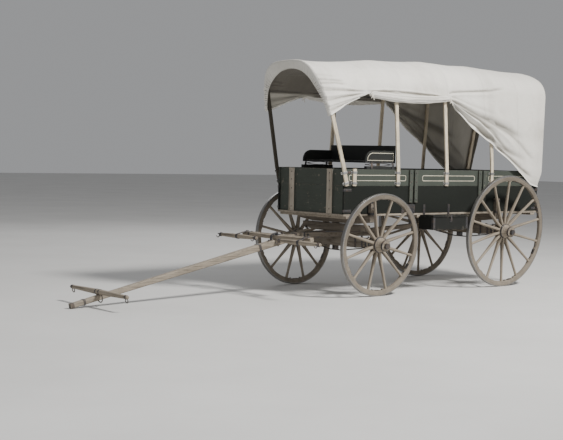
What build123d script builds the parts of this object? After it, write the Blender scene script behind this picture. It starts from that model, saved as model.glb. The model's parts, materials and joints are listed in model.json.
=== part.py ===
from build123d import *
import math
import os

# Covered farm wagon with a bowed canvas top, in millimetres.
# The wagon heads along -X, its near (left) side is -Y and +Z is up.
# Stations along X are measured from the front end of the box; the last
# step moves the whole wagon so that its origin is under its middle.

# Box
box_length = 3200.0
box_inside_width = 1080.0
board = 22.0
floor_bottom = 863.0
floor_boards = 5
board_gap = 1.0
lower_side_height = 305.0
upper_side_height = 180.0
gate_clearance = 5.0
gate_inset = 20.0
gate_cleat = 24.0
gate_cleat_depth = 18.0
front_cleat_width = 92.0
front_cleat_offset = 322.0
sill_height = 28.0
sill_width = 75.0

# Outside cleats on the sides
cleat_width = 46.0
cleat_thickness = 20.0
cleat_drop = 185.0
cleat_pair_gap = 80.0
rear_cleats_before_axle = 260.0

# Wheels
front_wheel_radius = 559.0
rear_wheel_radius = 660.0
front_spokes = 12
rear_spokes = 14
tyre_thickness = 12.0
tyre_width = 44.0
felloe_depth = 50.0
felloe_gap = 0.6
dish = 45.0
camber = 4.0
half_track = 686.0
front_axle_x = 390.0
wheelbase = 2040.0

# Hubs and the axle arms that they turn on
hub_inner = 130.0
hub_outer = 140.0
hub_radius = 88.0
hub_end_radius = 60.0
band_width = 24.0
band_thickness = 4.0
arm_root_radius = 36.0
arm_tip_radius = 25.0
arm_clearance = 0.5
collar_radius = 50.0
collar_thickness = 16.0
nut_radius = 34.0
nut_thickness = 28.0

# Spokes: width round the wheel and depth along the axle at each end
spoke_root_width = 30.0
spoke_root_depth = 54.0
spoke_swell_at = 0.26
spoke_swell_width = 35.0
spoke_swell_depth = 42.0
spoke_tip_width = 26.0
spoke_tip_depth = 30.0
spoke_bevel = 0.28

# Axle beds and what lies on them
axle_width = 95.0
axle_height = 110.0
axle_end_height = 84.0
hound_height = 50.0
sand_board_height = 88.0
wear_plate = 10.0
bolster_width = 85.0
bolster_taper = 30.0
taper_start = 350.0
stake_width = 60.0
stake_thickness = 44.0
stake_height = 180.0
king_pin_radius = 11.0
pin_clearance = 0.3
seat_gap = 0.3

# Reach, the pole that ties both axles
reach_width = 70.0
reach_height = 36.0
reach_tail = 260.0
reach_nose = 70.0
reach_rise = 80.0
rear_hound_spread = 230.0
rear_hound_tail = 120.0
rear_hound_length = 880.0
rear_hound_fall = 62.0

# Front hounds and tongue
jaw_x = -100.0
jaw_overhang = 70.0
jaw_length = 240.0
hound_width = 46.0
hound_spread = 260.0
hound_tail = 480.0
sway_bar_width = 60.0
sway_bar_height = 20.0
tongue_length = 2930.0
tongue_tail = 110.0
tongue_root_width = 90.0
tongue_root_height = 74.0
tongue_tip_size = 50.0
tongue_bevel = 9.0
tongue_side_clearance = 5.0
tongue_pin_radius = 10.0

# Evener and singletrees
evener_at = 350.0
evener_length = 1180.0
evener_width = 74.0
evener_end_width = 48.0
evener_height = 44.0
evener_pin_radius = 9.0
singletree_at = 530.0
singletree_reach = 130.0
singletree_length = 680.0
singletree_radius = 26.0
singletree_end_radius = 17.0
clevis_thickness = 7.0
clevis_width = 34.0

# Neck yoke
neck_yoke_back = 330.0
neck_yoke_length = 1070.0
neck_yoke_radius = 27.0
neck_yoke_end_radius = 18.0
neck_ring_radius = 52.0
neck_ring_wire = 6.0
yoke_ring_radius = 22.0
hook_radius = 20.0
hook_wire = 5.0
link_sides = 8

# Where the cleats stand, in pairs
front_cleats_at = box_length * 0.322
rear_cleats_at = front_axle_x + wheelbase - rear_cleats_before_axle

# Bows: bent ash strips in staples on the upper sides
bow_width = 45.0
bow_thickness = 19.0
bow_crown_radius = 750.0
bow_haunch_radius = 300.0
bow_haunch_offset = 215.0
bow_knee_rise = 12.0
front_bow_at = 30.0
second_bow_at = 138.0
stump_rise = 4.0
third_bow_at = box_length * 0.2466
fourth_bow_at = box_length * 0.4894
cleats_to_bow = 172.0
fifth_bow_at = rear_cleats_at + cleats_to_bow
rear_bow_inset = 50.0
rear_bow_at = box_length - rear_bow_inset
ridge_height = 2630.0
front_drop = 115.0
third_drop = 32.0
fifth_drop = 4.0
rear_drop = 30.0
# name, station of the foot, lean towards the back in degrees, height of the crown above ground
bows = [
    ("bow_front", front_bow_at, -14.0, ridge_height - front_drop),
    ("bow_third", third_bow_at, 0.0, ridge_height - third_drop),
    ("bow_fourth", fourth_bow_at, 0.0, ridge_height),
    ("bow_fifth", fifth_bow_at, 0.0, ridge_height - fifth_drop),
    ("bow_rear", rear_bow_at, 8.0, ridge_height - rear_drop),
]
staple_width = 26.0
staple_thickness = 4.0
staple_lug = 18.0
staple_heights = (30.0, 145.0)

# Canvas top
cover_thickness = 3.0
cover_clearance = 0.3
cover_flare = 12.0
cover_overhang = 40.0
front_lip = 88.0
rear_lip = 60.0
lip_thickness = 6.0
roll_radius = 26.0
beyond_ends = 700.0
front_hem_height = 1968.0
front_hem_at = -120.0
front_tie_at = 369.0
front_tie_height = 2192.0
tie_past_bow = 34.0
back_tie_at = fourth_bow_at + tie_past_bow
back_tie_height = 2184.0
rear_hem_height = 1193.0
# share of the way from the back tie to the end of the box, and share of the fall to the rear hem
hem_fall = [
    (0.247, 0.326),
    (0.470, 0.528),
    (0.680, 0.766),
    (0.895, 0.988),
]
roll_from_front_tie = 51.0
roll_to_back_tie = 40.0
roll_start = front_tie_at + roll_from_front_tie
roll_end = back_tie_at - roll_to_back_tie
roll_height = 2176.0
roll_offset = 551.0
lip_rise = 40.0

# Seat
seat_front = 330.0
seat_depth = 450.0
seat_rail_height = 34.0
seat_rail_width = 44.0
seat_rail_inset = 8.0
seat_spring_height = 36.0
seat_spring_thickness = 5.0
seat_board_side = 20.0
seat_arm_height = 112.0
seat_back_height = 172.0

# Tool box on the near side
tool_box_length = 560.0
tool_box_wheel_gap = 70.0
tool_box_depth = 225.0
tool_box_top = 867.0
tool_box_height = 160.0
tool_box_wall = 16.0
lid_overhang = 8.0
lid_gap = 0.5
lid_back = 22.0
hinge_back = 14.0
hinge_radius = 6.0
hinge_width = 40.0
hinge_gap = 1.0
hinge_inset = 110.0
strap_width = 32.0
strap_thickness = 5.0
strap_rise = 95.0
strap_inset = 80.0

# Rub irons
rub_iron_start = 860.0
rub_iron_length = 210.0
rub_iron_height = 100.0
rub_iron_thickness = 5.0

# What follows from the sizes above
half_inside = box_inside_width / 2
half_outside = half_inside + board
floor_top = floor_bottom + board
side_top = floor_top + lower_side_height
box_top = side_top + upper_side_height
rear_axle_x = front_axle_x + wheelbase
tool_box_start = rear_axle_x - rear_wheel_radius - tool_box_wheel_gap - tool_box_length
camber_rad = math.radians(camber)
hinge_height = tool_box_top - tool_box_wall / 2


def arm_height(radius):
    """Height of the spokes' middle above ground, with the tyre just standing on it."""
    lean = (tyre_width / 2 + dish) * math.sin(camber_rad)
    return radius * math.cos(camber_rad) + lean


front_arm_z = arm_height(front_wheel_radius)
rear_arm_z = arm_height(rear_wheel_radius)
front_axle_top = front_arm_z + axle_height / 2
rear_axle_top = rear_arm_z + axle_height / 2
sand_board_bottom = front_axle_top + hound_height
sand_board_top = sand_board_bottom + sand_board_height
bolster_bottom = sand_board_top + wear_plate
rear_bolster_bottom = rear_axle_top + hound_height
tongue_pin_z = front_axle_top + hound_height / 2
tongue_drop = math.degrees(math.asin((tongue_pin_z - tongue_tip_size / 2) / tongue_length))
bow_foot_z = side_top
knee_z = box_top + bow_knee_rise
bow_outside = half_outside + seat_gap + bow_thickness


def block(x0, x1, y0, y1, z0, z1):
    """Box between two corners."""
    middle = Pos((x0 + x1) / 2, (y0 + y1) / 2, (z0 + z1) / 2)
    return middle * Box(x1 - x0, y1 - y0, z1 - z0)


def both_sides(shape):
    """The near piece and its twin on the far side."""
    return [shape, mirror(shape, about=Plane.XZ)]


def group(pieces):
    """Like pieces that share a node."""
    solids = []
    for piece in pieces:
        solids.extend(piece.solids())
    return Compound(solids)


def plan_bar(points, width, bottom, height):
    """Bar of one width along a bent line seen from above."""
    left = []
    right = []
    for i, (x, y) in enumerate(points):
        before = points[max(i - 1, 0)]
        after = points[min(i + 1, len(points) - 1)]
        angle = math.atan2(after[1] - before[1], after[0] - before[0])
        reach = width / 2
        if 0 < i < len(points) - 1:
            a = math.atan2(y - before[1], x - before[0])
            b = math.atan2(after[1] - y, after[0] - x)
            angle = (a + b) / 2
            reach = reach / math.cos((b - a) / 2)
        dx = -math.sin(angle) * reach
        dy = math.cos(angle) * reach
        left.append((x + dx, y + dy))
        right.append((x - dx, y - dy))
    outline = Polyline(*left, *reversed(right), close=True)
    return Pos(0, 0, bottom) * extrude(make_face(outline), amount=height)


def strut(start, end, width, height):
    """Straight bar between two points, its width level."""
    along = Vector(*end) - Vector(*start)
    level = Vector(-along.Y, along.X, 0).normalized()
    plane = Plane(origin=start, x_dir=level, z_dir=along)
    return extrude(plane * Rectangle(width, height), amount=along.length)


def profile_bar(points, station, width):
    """Bar across the wagon with one outline (y, z) seen from the front."""
    outline = make_face(Polyline(*points, close=True))
    return extrude(Plane.YZ.offset(station) * outline, amount=width / 2, both=True)


def tapered_bar(station, width, half, bottom, top, rise):
    """Level bar whose underside rises towards both ends."""
    points = [
        (-half, top), (-half, bottom + rise), (-taper_start, bottom),
        (taper_start, bottom), (half, bottom + rise), (half, top),
    ]
    return profile_bar(points, station, width)


def turned(rows):
    """Solid turned about Z from rows of (height, radius)."""
    points = [(0, rows[0][0])] + [(r, z) for z, r in rows] + [(0, rows[-1][0])]
    outline = Plane.XZ * make_face(Polyline(*points, close=True))
    return revolve(outline, axis=Axis.Z)


def link(radius, wire):
    """Iron ring of flat-sided bar, about Z."""
    section = Plane.XZ * Pos(radius, 0, 0) * RegularPolygon(wire, link_sides)
    return revolve(section, axis=Axis.Z)


def near_wheel_place(station, height):
    """Wheel frame: Z runs out along the axle arm, which points a little down."""
    return Pos(station, -half_track, height) * Rot(90 + camber, 0, 0)


def arm_radius(z, extra=0.0):
    """Radius of the tapered axle arm at a place along it."""
    share = (z + hub_inner) / (hub_inner + hub_outer)
    return arm_root_radius + (arm_tip_radius - arm_root_radius) * share + extra


def hub_blank():
    """Turned wooden hub with its iron bands, not yet bored."""
    end = hub_end_radius
    bands = end + band_thickness
    swell = spoke_root_depth / 2 + 6
    rows = [
        (-hub_inner, bands),
        (-hub_inner + band_width, bands),
        (-hub_inner + band_width, end),
        (-swell - band_width, hub_radius - band_thickness),
        (-swell, hub_radius - band_thickness),
        (-swell, hub_radius),
        (swell, hub_radius),
        (swell, hub_radius - band_thickness),
        (swell + band_width, hub_radius - band_thickness - 6),
        (hub_outer - band_width, end - 6),
        (hub_outer - band_width, bands - 4),
        (hub_outer, bands - 4),
    ]
    return turned(rows)


def hub():
    """Hub bored to a running clearance on the tapered arm."""
    rows = [
        (-hub_inner - 1, arm_radius(-hub_inner - 1, arm_clearance)),
        (hub_outer + 1, arm_radius(hub_outer + 1, arm_clearance)),
    ]
    return hub_blank() - turned(rows)


def ring(outer, inner, width):
    """Flat ring centred on the plane of the rim."""
    blank = Cylinder(outer, width) - Cylinder(inner, width)
    return Pos(0, 0, dish) * blank


def tyre(radius):
    """Flat iron tyre."""
    return ring(radius, radius - tyre_thickness, tyre_width)


def felloes(radius, spoke_count):
    """Bent rim in pieces, each holding two spokes."""
    outer = radius - tyre_thickness
    blank = ring(outer, outer - felloe_depth, tyre_width)
    pieces = spoke_count // 2
    for i in range(pieces):
        turn = (i + 0.5) * 360 / pieces
        cut = Pos(outer - felloe_depth / 2, 0, dish) * Box(felloe_depth * 2, felloe_gap, tyre_width * 2)
        blank -= Rot(0, 0, turn) * cut
    return group([blank])


def spoke_section(distance, width, depth, height):
    """Bevelled section of a spoke across its length."""
    plane = Plane(origin=(distance, 0, height), x_dir=(0, 1, 0), z_dir=(1, 0, 0))
    bevel = min(width, depth) * spoke_bevel
    return plane * chamfer(Rectangle(width, depth).vertices(), bevel)


def spokes(radius, spoke_count):
    """Tapered spokes, dished outwards from the hub to the rim."""
    rim = radius - tyre_thickness - felloe_depth
    root = hub_radius - 14
    tip = rim + 10
    swell = root + (tip - root) * spoke_swell_at
    sections = [
        spoke_section(root, spoke_root_width, spoke_root_depth, dish * root / rim),
        spoke_section(swell, spoke_swell_width, spoke_swell_depth, dish * swell / rim),
        spoke_section(tip, spoke_tip_width, spoke_tip_depth, dish * tip / rim),
    ]
    blank = loft(sections, ruled=True)
    blank -= Cylinder(hub_radius, hub_inner)
    blank -= ring(rim + felloe_depth, rim, tyre_width * 2)
    pitch = 360 / spoke_count
    first = pitch / 2
    return group([Rot(0, 0, first + i * pitch) * blank for i in range(spoke_count)])


def skein():
    """Cast axle arm with its collar and nut, in the wheel frame."""
    rows = [
        (-hub_inner - collar_thickness - 4, collar_radius),
        (-hub_inner - 4, collar_radius),
        (-hub_inner - 4, arm_radius(-hub_inner)),
        (hub_outer + 2, arm_radius(hub_outer)),
        (hub_outer + 2, arm_tip_radius - 3),
        (hub_outer + 3, arm_tip_radius - 3),
    ]
    nut = extrude(Plane.XY.offset(hub_outer + 3) * RegularPolygon(nut_radius, 6), amount=nut_thickness)
    return turned(rows) + nut


def axle_bed(station, height):
    """Wooden axle bed, cut off square to the arms at both ends."""
    bed = tapered_bar(
        station, axle_width, half_track, height - axle_height / 2, height + axle_height / 2,
        axle_height - axle_end_height,
    )
    size = axle_height * 5
    beyond = near_wheel_place(station, height) * Pos(0, 0, size / 2 - hub_inner - collar_thickness - 4)
    for cut in both_sides(beyond * Box(size, size, size)):
        bed -= cut
    return bed


def wheel_nodes(name, station, radius, spoke_count, far):
    """The four pieces of one wheel."""
    place = near_wheel_place(station, arm_height(radius))
    pieces = {
        "tyre": tyre(radius),
        "felloes": felloes(radius, spoke_count),
        "spokes": spokes(radius, spoke_count),
        "hub": hub(),
    }
    made = {}
    for kind, piece in pieces.items():
        placed = place * piece
        if far:
            placed = mirror(placed, about=Plane.XZ)
        made[name + "_" + kind] = placed
    return made


def king_bore(bottom, top, clearance):
    """Hole for the king pin."""
    height = top - bottom
    return Pos(front_axle_x, 0, (top + bottom) / 2) * Cylinder(king_pin_radius + clearance, height)


def front_axle():
    """Front axle bed with the king pin's hole."""
    bed = axle_bed(front_axle_x, front_arm_z)
    return bed - king_bore(front_arm_z - axle_height, front_axle_top + 1, 1.0)


def skeins(station, height):
    """Both axle arms of one axle."""
    return group(both_sides(near_wheel_place(station, height) * skein()))


def front_hounds():
    """Two hounds that hold the tongue in front and carry the sway bar behind."""
    jaw = tongue_root_width / 2 + tongue_side_clearance + hound_width / 2
    front = jaw_x - jaw_overhang
    tail = front_axle_x + hound_tail
    route = [(front, -jaw), (front + jaw_length, -jaw), (tail, -hound_spread)]
    bar = plan_bar(route, hound_width, front_axle_top, hound_height)
    notch = block(
        tail - sway_bar_width - 20, tail - 20, -half_track, half_track,
        front_axle_top - 1, front_axle_top + sway_bar_height,
    )
    pin_hole = Pos(jaw_x, 0, tongue_pin_z) * Rot(90, 0, 0) * Cylinder(tongue_pin_radius + pin_clearance, half_track)
    return group(both_sides(bar - notch - pin_hole))


def sway_bar():
    """Bar across the tails of the hounds, under the reach."""
    tail = front_axle_x + hound_tail
    half = hound_spread + hound_width
    return block(
        tail - sway_bar_width - 20, tail - 20, -half, half,
        front_axle_top, front_axle_top + sway_bar_height,
    )


def sand_board():
    """Board over the front axle with the iron wear plate on top."""
    half = half_outside - 40
    wood = tapered_bar(front_axle_x, bolster_width, half, sand_board_bottom, sand_board_top, bolster_taper)
    plate = Pos(front_axle_x, 0, sand_board_top + wear_plate / 2 - seat_gap / 2)
    plate = plate * Cylinder(bolster_width / 2, wear_plate - seat_gap)
    bore = king_bore(sand_board_bottom - 1, sand_board_top + wear_plate + 1, 1.0)
    return wood + plate - bore


def bolster(station, bottom):
    """Cross beam under the box with a stake at each end."""
    beam = tapered_bar(
        station, bolster_width, half_outside + stake_thickness, bottom, floor_bottom, bolster_taper,
    )
    stake = block(
        station - stake_width / 2, station + stake_width / 2,
        -half_outside - stake_thickness, -half_outside - seat_gap, floor_bottom, floor_bottom + stake_height,
    )
    whole = beam
    for piece in both_sides(stake):
        whole += piece
    return whole


def front_bolster():
    """Front bolster, bored for the king pin."""
    return bolster(front_axle_x, bolster_bottom) - king_bore(bolster_bottom - 1, floor_bottom + 1, pin_clearance)


def king_pin():
    """Pin that the front gear turns on."""
    bottom = front_arm_z - axle_height / 2 - 40
    shaft = Pos(front_axle_x, 0, (bottom + floor_bottom) / 2)
    return shaft * Cylinder(king_pin_radius, floor_bottom - bottom)


def reach():
    """Pole from the king pin to behind the rear axle, level at both ends."""
    front_low = front_axle_top + (hound_height - reach_height) / 2
    rear_low = rear_axle_top
    front_end = front_axle_x - reach_nose
    front_flat = front_axle_x + reach_rise
    rear_flat = rear_axle_x - axle_width / 2 - 20
    rear_end = rear_axle_x + reach_tail
    side = [
        (front_end, front_low), (front_flat, front_low), (rear_flat, rear_low), (rear_end, rear_low),
        (rear_end, rear_low + hound_height), (rear_flat, rear_low + hound_height),
        (front_flat, front_low + reach_height), (front_end, front_low + reach_height),
    ]
    face = Plane.XZ * make_face(Polyline(*side, close=True))
    pole = extrude(face, amount=reach_width / 2, both=True)
    return pole - king_bore(front_low - 1, front_low + reach_height + 1, pin_clearance)


def rear_hounds(axle, beam, pole):
    """Two hounds from the rear axle forward to the sides of the reach."""
    z = rear_axle_top + hound_height / 2
    start = (rear_axle_x + rear_hound_tail, -rear_hound_spread, z)
    front = rear_axle_x + rear_hound_tail - rear_hound_length
    end = (front, -reach_width / 2 - 12, z - rear_hound_fall)
    bar = strut(start, end, hound_width, hound_height + 4)
    bar = bar - axle - beam - pole
    pieces = sorted(bar.solids(), key=lambda s: s.volume)
    return group(both_sides(pieces[-1]))


def tongue_place():
    """Frame of the lowered tongue: X runs back from its tip to the pin, Z is its upper side."""
    return Pos(jaw_x, 0, tongue_pin_z) * Rot(0, -tongue_drop, 0)


def tongue():
    """Tapered pole, its tip on the ground."""
    root = Plane(origin=(0, 0, 0), x_dir=(0, 1, 0), z_dir=(-1, 0, 0))
    tip = Plane(origin=(-tongue_length, 0, 0), x_dir=(0, 1, 0), z_dir=(-1, 0, 0))
    taper = loft([
        root * chamfer(Rectangle(tongue_root_width, tongue_root_height).vertices(), tongue_bevel),
        tip * chamfer(Rectangle(tongue_tip_size, tongue_tip_size).vertices(), tongue_bevel),
    ], ruled=True)
    tail = block(
        0, tongue_tail, -tongue_root_width / 2, tongue_root_width / 2,
        -tongue_root_height / 2, tongue_root_height / 2,
    )
    pole = taper + tail
    through = 4 * tongue_root_width
    pole -= Rot(90, 0, 0) * Cylinder(tongue_pin_radius + pin_clearance, through)
    pole -= Pos(-evener_at, 0, 0) * Cylinder(evener_pin_radius + pin_clearance, through)
    return tongue_place() * pole


def tongue_pin():
    """Bolt through the jaws and the tongue."""
    length = tongue_root_width + 2 * (tongue_side_clearance + hound_width) + 30
    return Pos(jaw_x, 0, tongue_pin_z) * Rot(90, 0, 0) * Cylinder(tongue_pin_radius, length)


def tongue_height_at(distance):
    """Half height of the tongue at a distance in front of its pin."""
    share = distance / tongue_length
    return (tongue_root_height + (tongue_tip_size - tongue_root_height) * share) / 2


def evener_place():
    """Frame of the evener, on the tongue."""
    lift = tongue_height_at(evener_at - evener_width / 2) + seat_gap + evener_height / 2
    return tongue_place() * Pos(-evener_at, 0, lift)


def evener():
    """Evener that swings on the tongue and pulls both singletrees."""
    half = evener_length / 2
    outline = Polyline(
        (-evener_width / 2, 0), (-evener_end_width / 2, half), (evener_end_width / 2, half),
        (evener_width / 2, 0), (evener_end_width / 2, -half), (-evener_end_width / 2, -half), close=True,
    )
    bar = Pos(0, 0, -evener_height / 2) * extrude(make_face(outline), amount=evener_height)
    bar -= Cylinder(evener_pin_radius + pin_clearance, evener_height * 2)
    for side in (-1, 1):
        bar -= Pos(0, side * singletree_at, 0) * Cylinder(evener_pin_radius + pin_clearance, evener_height * 2)
    return evener_place() * bar


def evener_pin():
    """Pin that holds the evener on the tongue."""
    top = evener_height / 2 + 16
    bottom = -evener_height / 2 - seat_gap - tongue_root_height - 12
    shaft = Pos(0, 0, (top + bottom) / 2) * Cylinder(evener_pin_radius, top - bottom)
    head = Pos(0, 0, top - 5) * Cylinder(evener_pin_radius * 2.2, 10)
    return evener_place() * (shaft + head)


def singletree(side):
    """Turned singletree in its clevis, with a hook at each end."""
    half = singletree_length / 2
    rows = [
        (-half, singletree_end_radius), (-half + 40, singletree_end_radius), (0, singletree_radius),
        (half - 40, singletree_end_radius), (half, singletree_end_radius),
    ]
    bar = Rot(90, 0, 0) * turned(rows)
    bar = Pos(-singletree_reach, 0, 0) * bar
    gap = evener_height / 2 + 1.5
    cheek = block(
        -singletree_reach, evener_end_width / 2, -clevis_width / 2, clevis_width / 2,
        gap, gap + clevis_thickness,
    )
    clevis = cheek + mirror(cheek, about=Plane.XY)
    band = Pos(-singletree_reach, 0, 0) * Rot(90, 0, 0) * Cylinder(gap + clevis_thickness, clevis_width)
    pin = Cylinder(evener_pin_radius, 2 * (gap + clevis_thickness) + 8)
    whole = bar + clevis + band + pin
    for end in (-1, 1):
        hook = Pos(-singletree_reach - hook_radius - 4, end * (half - 22), 0) * link(hook_radius, hook_wire)
        whole += hook
    return evener_place() * Pos(0, side * singletree_at, 0) * whole


def neck_yoke():
    """Neck yoke laid across the tongue, held by its ring."""
    back = tongue_length - neck_yoke_back
    lift = tongue_height_at(back) + seat_gap + neck_yoke_radius
    half = neck_yoke_length / 2
    rows = [
        (-half, neck_yoke_end_radius), (-60, neck_yoke_radius), (60, neck_yoke_radius), (half, neck_yoke_end_radius),
    ]
    bar = Pos(0, 0, lift) * Rot(90, 0, 0) * turned(rows)
    ring_piece = Rot(0, 90, 0) * link(neck_ring_radius, neck_ring_wire)
    whole = bar + ring_piece
    for end in (-1, 1):
        end_ring = Rot(0, 90, 0) * link(yoke_ring_radius, hook_wire)
        whole += Pos(0, end * (half - 30), lift - neck_yoke_end_radius - 16) * end_ring
    return tongue_place() * Pos(-back, 0, 0) * whole


def box_floor():
    """Floor boards of the box, laid lengthwise."""
    pitch = (2 * half_outside + board_gap) / floor_boards
    pieces = []
    for i in range(floor_boards):
        edge = -half_outside + i * pitch
        pieces.append(block(0, box_length, edge, edge + pitch - board_gap, floor_bottom, floor_top))
    return group(pieces)


def floor_sills():
    """Cross sills under the floor."""
    stations = (sill_width, box_length * 0.36, box_length * 0.56, box_length - sill_width)
    pieces = []
    for station in stations:
        pieces.append(block(
            station - sill_width / 2, station + sill_width / 2, -half_outside, half_outside,
            floor_bottom - sill_height, floor_bottom,
        ))
    return group(pieces)


def side_board(bottom, height):
    """One near side board of the box."""
    return block(0, box_length, -half_outside, -half_inside, bottom, bottom + height)


def gate_boards(front, half):
    """Lower and upper board of an end gate, in line with those of the sides."""
    lower = block(front, front + board, -half, half, floor_top, side_top - board_gap / 2)
    upper = block(front, front + board, -half, half, side_top + board_gap / 2, box_top)
    return lower + upper


def front_gate():
    """Front end boards with two upright cleats."""
    wall = gate_boards(gate_inset, half_inside)
    cleat = block(
        gate_inset - gate_cleat_depth, gate_inset, -front_cleat_offset - front_cleat_width / 2,
        -front_cleat_offset + front_cleat_width / 2, floor_top, box_top,
    )
    whole = wall
    for piece in both_sides(cleat):
        whole += piece
    return whole


def rear_gate():
    """Tail board that lifts out between its cleats."""
    rear = box_length - gate_inset
    half = half_inside - gate_clearance
    wall = gate_boards(rear - board, half)
    cleat = block(
        rear - board - gate_cleat_depth, rear - board, -front_cleat_offset - front_cleat_width / 2,
        -front_cleat_offset + front_cleat_width / 2, floor_top, box_top,
    )
    for piece in both_sides(cleat):
        wall += piece
    return wall


def gate_cleats():
    """Upright cleats that guide the tail board."""
    rear = box_length - gate_inset
    behind = rear + gate_clearance
    before = rear - board - gate_clearance - gate_cleat
    pieces = []
    for start, size in ((behind, box_length - behind), (before, gate_cleat)):
        cleat = block(start, start + size, -half_inside, -half_inside + gate_cleat, floor_top, box_top)
        pieces.extend(both_sides(cleat))
    return group(pieces)


def side_cleats():
    """Pairs of cleats that tie the upper side to the lower one."""
    pieces = []
    for middle in (front_cleats_at, rear_cleats_at):
        for step in (-0.5, 0.5):
            station = middle + step * cleat_pair_gap
            cleat = block(
                station - cleat_width / 2, station + cleat_width / 2,
                -half_outside - cleat_thickness, -half_outside, side_top - cleat_drop, box_top,
            )
            pieces.extend(both_sides(cleat))
    return group(pieces)


def rub_irons():
    """Plates where the front wheels rub the box in a full turn."""
    plate = block(
        rub_iron_start, rub_iron_start + rub_iron_length,
        -half_outside - rub_iron_thickness, -half_outside, floor_top, floor_top + rub_iron_height,
    )
    return group(both_sides(plate))


def arch(crown, grow, flare):
    """Edges of a bow's outline in the YZ plane, from the near foot over the crown to the far foot."""
    crown_mid = crown - bow_crown_radius
    span = bow_crown_radius - bow_haunch_radius
    haunch_y = bow_haunch_offset
    haunch_z = crown_mid + math.sqrt(span ** 2 - haunch_y ** 2)
    foot_y = bow_outside + flare
    away = math.hypot(foot_y - haunch_y, knee_z - haunch_z)
    bearing = math.atan2(knee_z - haunch_z, foot_y - haunch_y)
    leg_turn = bearing + math.acos(bow_haunch_radius / away)
    top_turn = math.atan2(haunch_z - crown_mid, haunch_y)
    haunch = bow_haunch_radius + grow
    big = bow_crown_radius + grow

    def haunch_point(turn):
        return (haunch_y + haunch * math.cos(turn), haunch_z + haunch * math.sin(turn))

    foot = (foot_y + grow, bow_foot_z)
    knee = (foot_y + grow, knee_z + grow * math.tan(leg_turn / 2))
    low = haunch_point(leg_turn)
    mid = haunch_point((leg_turn + top_turn) / 2)
    high = haunch_point(top_turn)

    def near(point):
        return (-point[0], point[1])

    return [
        Line(near(foot), near(knee)),
        Line(near(knee), near(low)),
        ThreePointArc(near(low), near(mid), near(high)),
        ThreePointArc(near(high), (0, crown_mid + big), high),
        ThreePointArc(high, mid, low),
        Line(low, knee),
        Line(knee, foot),
    ]


def arch_face(crown, outer, inner, flare=0.0):
    """Face between two growths of a bow's outline."""
    outside = arch(crown, outer, flare)
    inside = arch(crown, inner, flare)
    ends = [Line(outside[0] @ 0, inside[0] @ 0), Line(outside[-1] @ 1, inside[-1] @ 1)]
    return make_face(outside + inside + ends)


def arch_slab(crown, grow, flare=0.0):
    """Closed face under a bow's outline."""
    outside = arch(crown, grow, flare)
    return make_face(outside + [Line(outside[-1] @ 1, outside[0] @ 0)])


def bow_plane(station, lean, along=0.0):
    """Plane across the wagon through a bow's foot, leaning with the bow."""
    place = Pos(station, 0, bow_foot_z) * Rot(0, lean, 0) * Pos(along, 0, -bow_foot_z)
    return place * Plane.YZ.location


def crown_along(crown, lean):
    """Crown height measured along a leaning bow."""
    return bow_foot_z + (crown - bow_foot_z) / math.cos(math.radians(lean))


def bow(station, lean, crown):
    """One bent bow."""
    face = arch_face(crown_along(crown, lean), 0, -bow_thickness)
    return extrude(bow_plane(station, lean) * face, amount=bow_width / 2, both=True)


def bow_stumps():
    """Feet of the second bow, which is taken out: its ends stand in their staples up to the box top."""
    foot = block(
        second_bow_at - bow_width / 2, second_bow_at + bow_width / 2,
        -bow_outside, -bow_outside + bow_thickness, bow_foot_z, box_top + stump_rise,
    )
    return group(both_sides(foot))


def bow_staples():
    """Iron staples that hold the feet of the bows on the upper sides."""
    pieces = []
    inner = bow_width / 2 + seat_gap
    feet = [(station, lean) for name, station, lean, crown in bows]
    for station, lean in feet + [(second_bow_at, 0.0)]:
        for height in staple_heights:
            place = Pos(station, 0, bow_foot_z) * Rot(0, lean, 0) * Pos(0, 0, height)
            back = -half_outside
            face = -bow_outside - seat_gap
            loop = block(
                -inner - staple_thickness, inner + staple_thickness, face - staple_thickness, back,
                -staple_width / 2, staple_width / 2,
            )
            loop -= block(-inner, inner, face, back + 1, -staple_width, staple_width)
            for way in (-1, 1):
                edge = way * (inner + staple_thickness)
                low, high = sorted((edge, edge + way * staple_lug))
                loop += block(
                    low, high, back - staple_thickness, back, -staple_width / 2, staple_width / 2,
                )
            pieces.extend(both_sides(place * loop))
    return group(pieces)


def hem_line():
    """Station and height of the lower edge of the canvas, the same on both sides."""
    line = [(-beyond_ends, front_hem_height), (front_hem_at, front_hem_height)]
    line += [(front_tie_at, front_tie_height), (back_tie_at, back_tie_height)]
    for along, fall in hem_fall:
        station = back_tie_at + along * (box_length - back_tie_at)
        line.append((station, back_tie_height - fall * (back_tie_height - rear_hem_height)))
    line.append((box_length + beyond_ends, rear_hem_height))
    return line


def cover_stations():
    """Stations of the canvas sections: bow, and how far along from its middle."""
    wide = bow_width / 2 + seat_gap
    yield bows[0], -cover_overhang
    yield bows[0], wide
    for row in bows[1:-1]:
        yield row, -wide
        yield row, wide
    yield bows[-1], -wide
    yield bows[-1], cover_overhang


def cover_lip(row, depth, way):
    """Gathered edge drawn in over the face of an end bow."""
    name, station, lean, crown = row
    height = crown_along(crown, lean)
    face = arch_face(height, cover_clearance + cover_thickness, -depth, cover_flare)
    place = bow_plane(station, lean, way * (cover_overhang + lip_thickness / 2))
    lip = extrude(place * face, amount=lip_thickness / 2, both=True)
    above = block(
        -beyond_ends, box_length + beyond_ends, -box_inside_width, box_inside_width,
        box_top + lip_rise, box_top + box_length,
    )
    return lip & above


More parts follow.
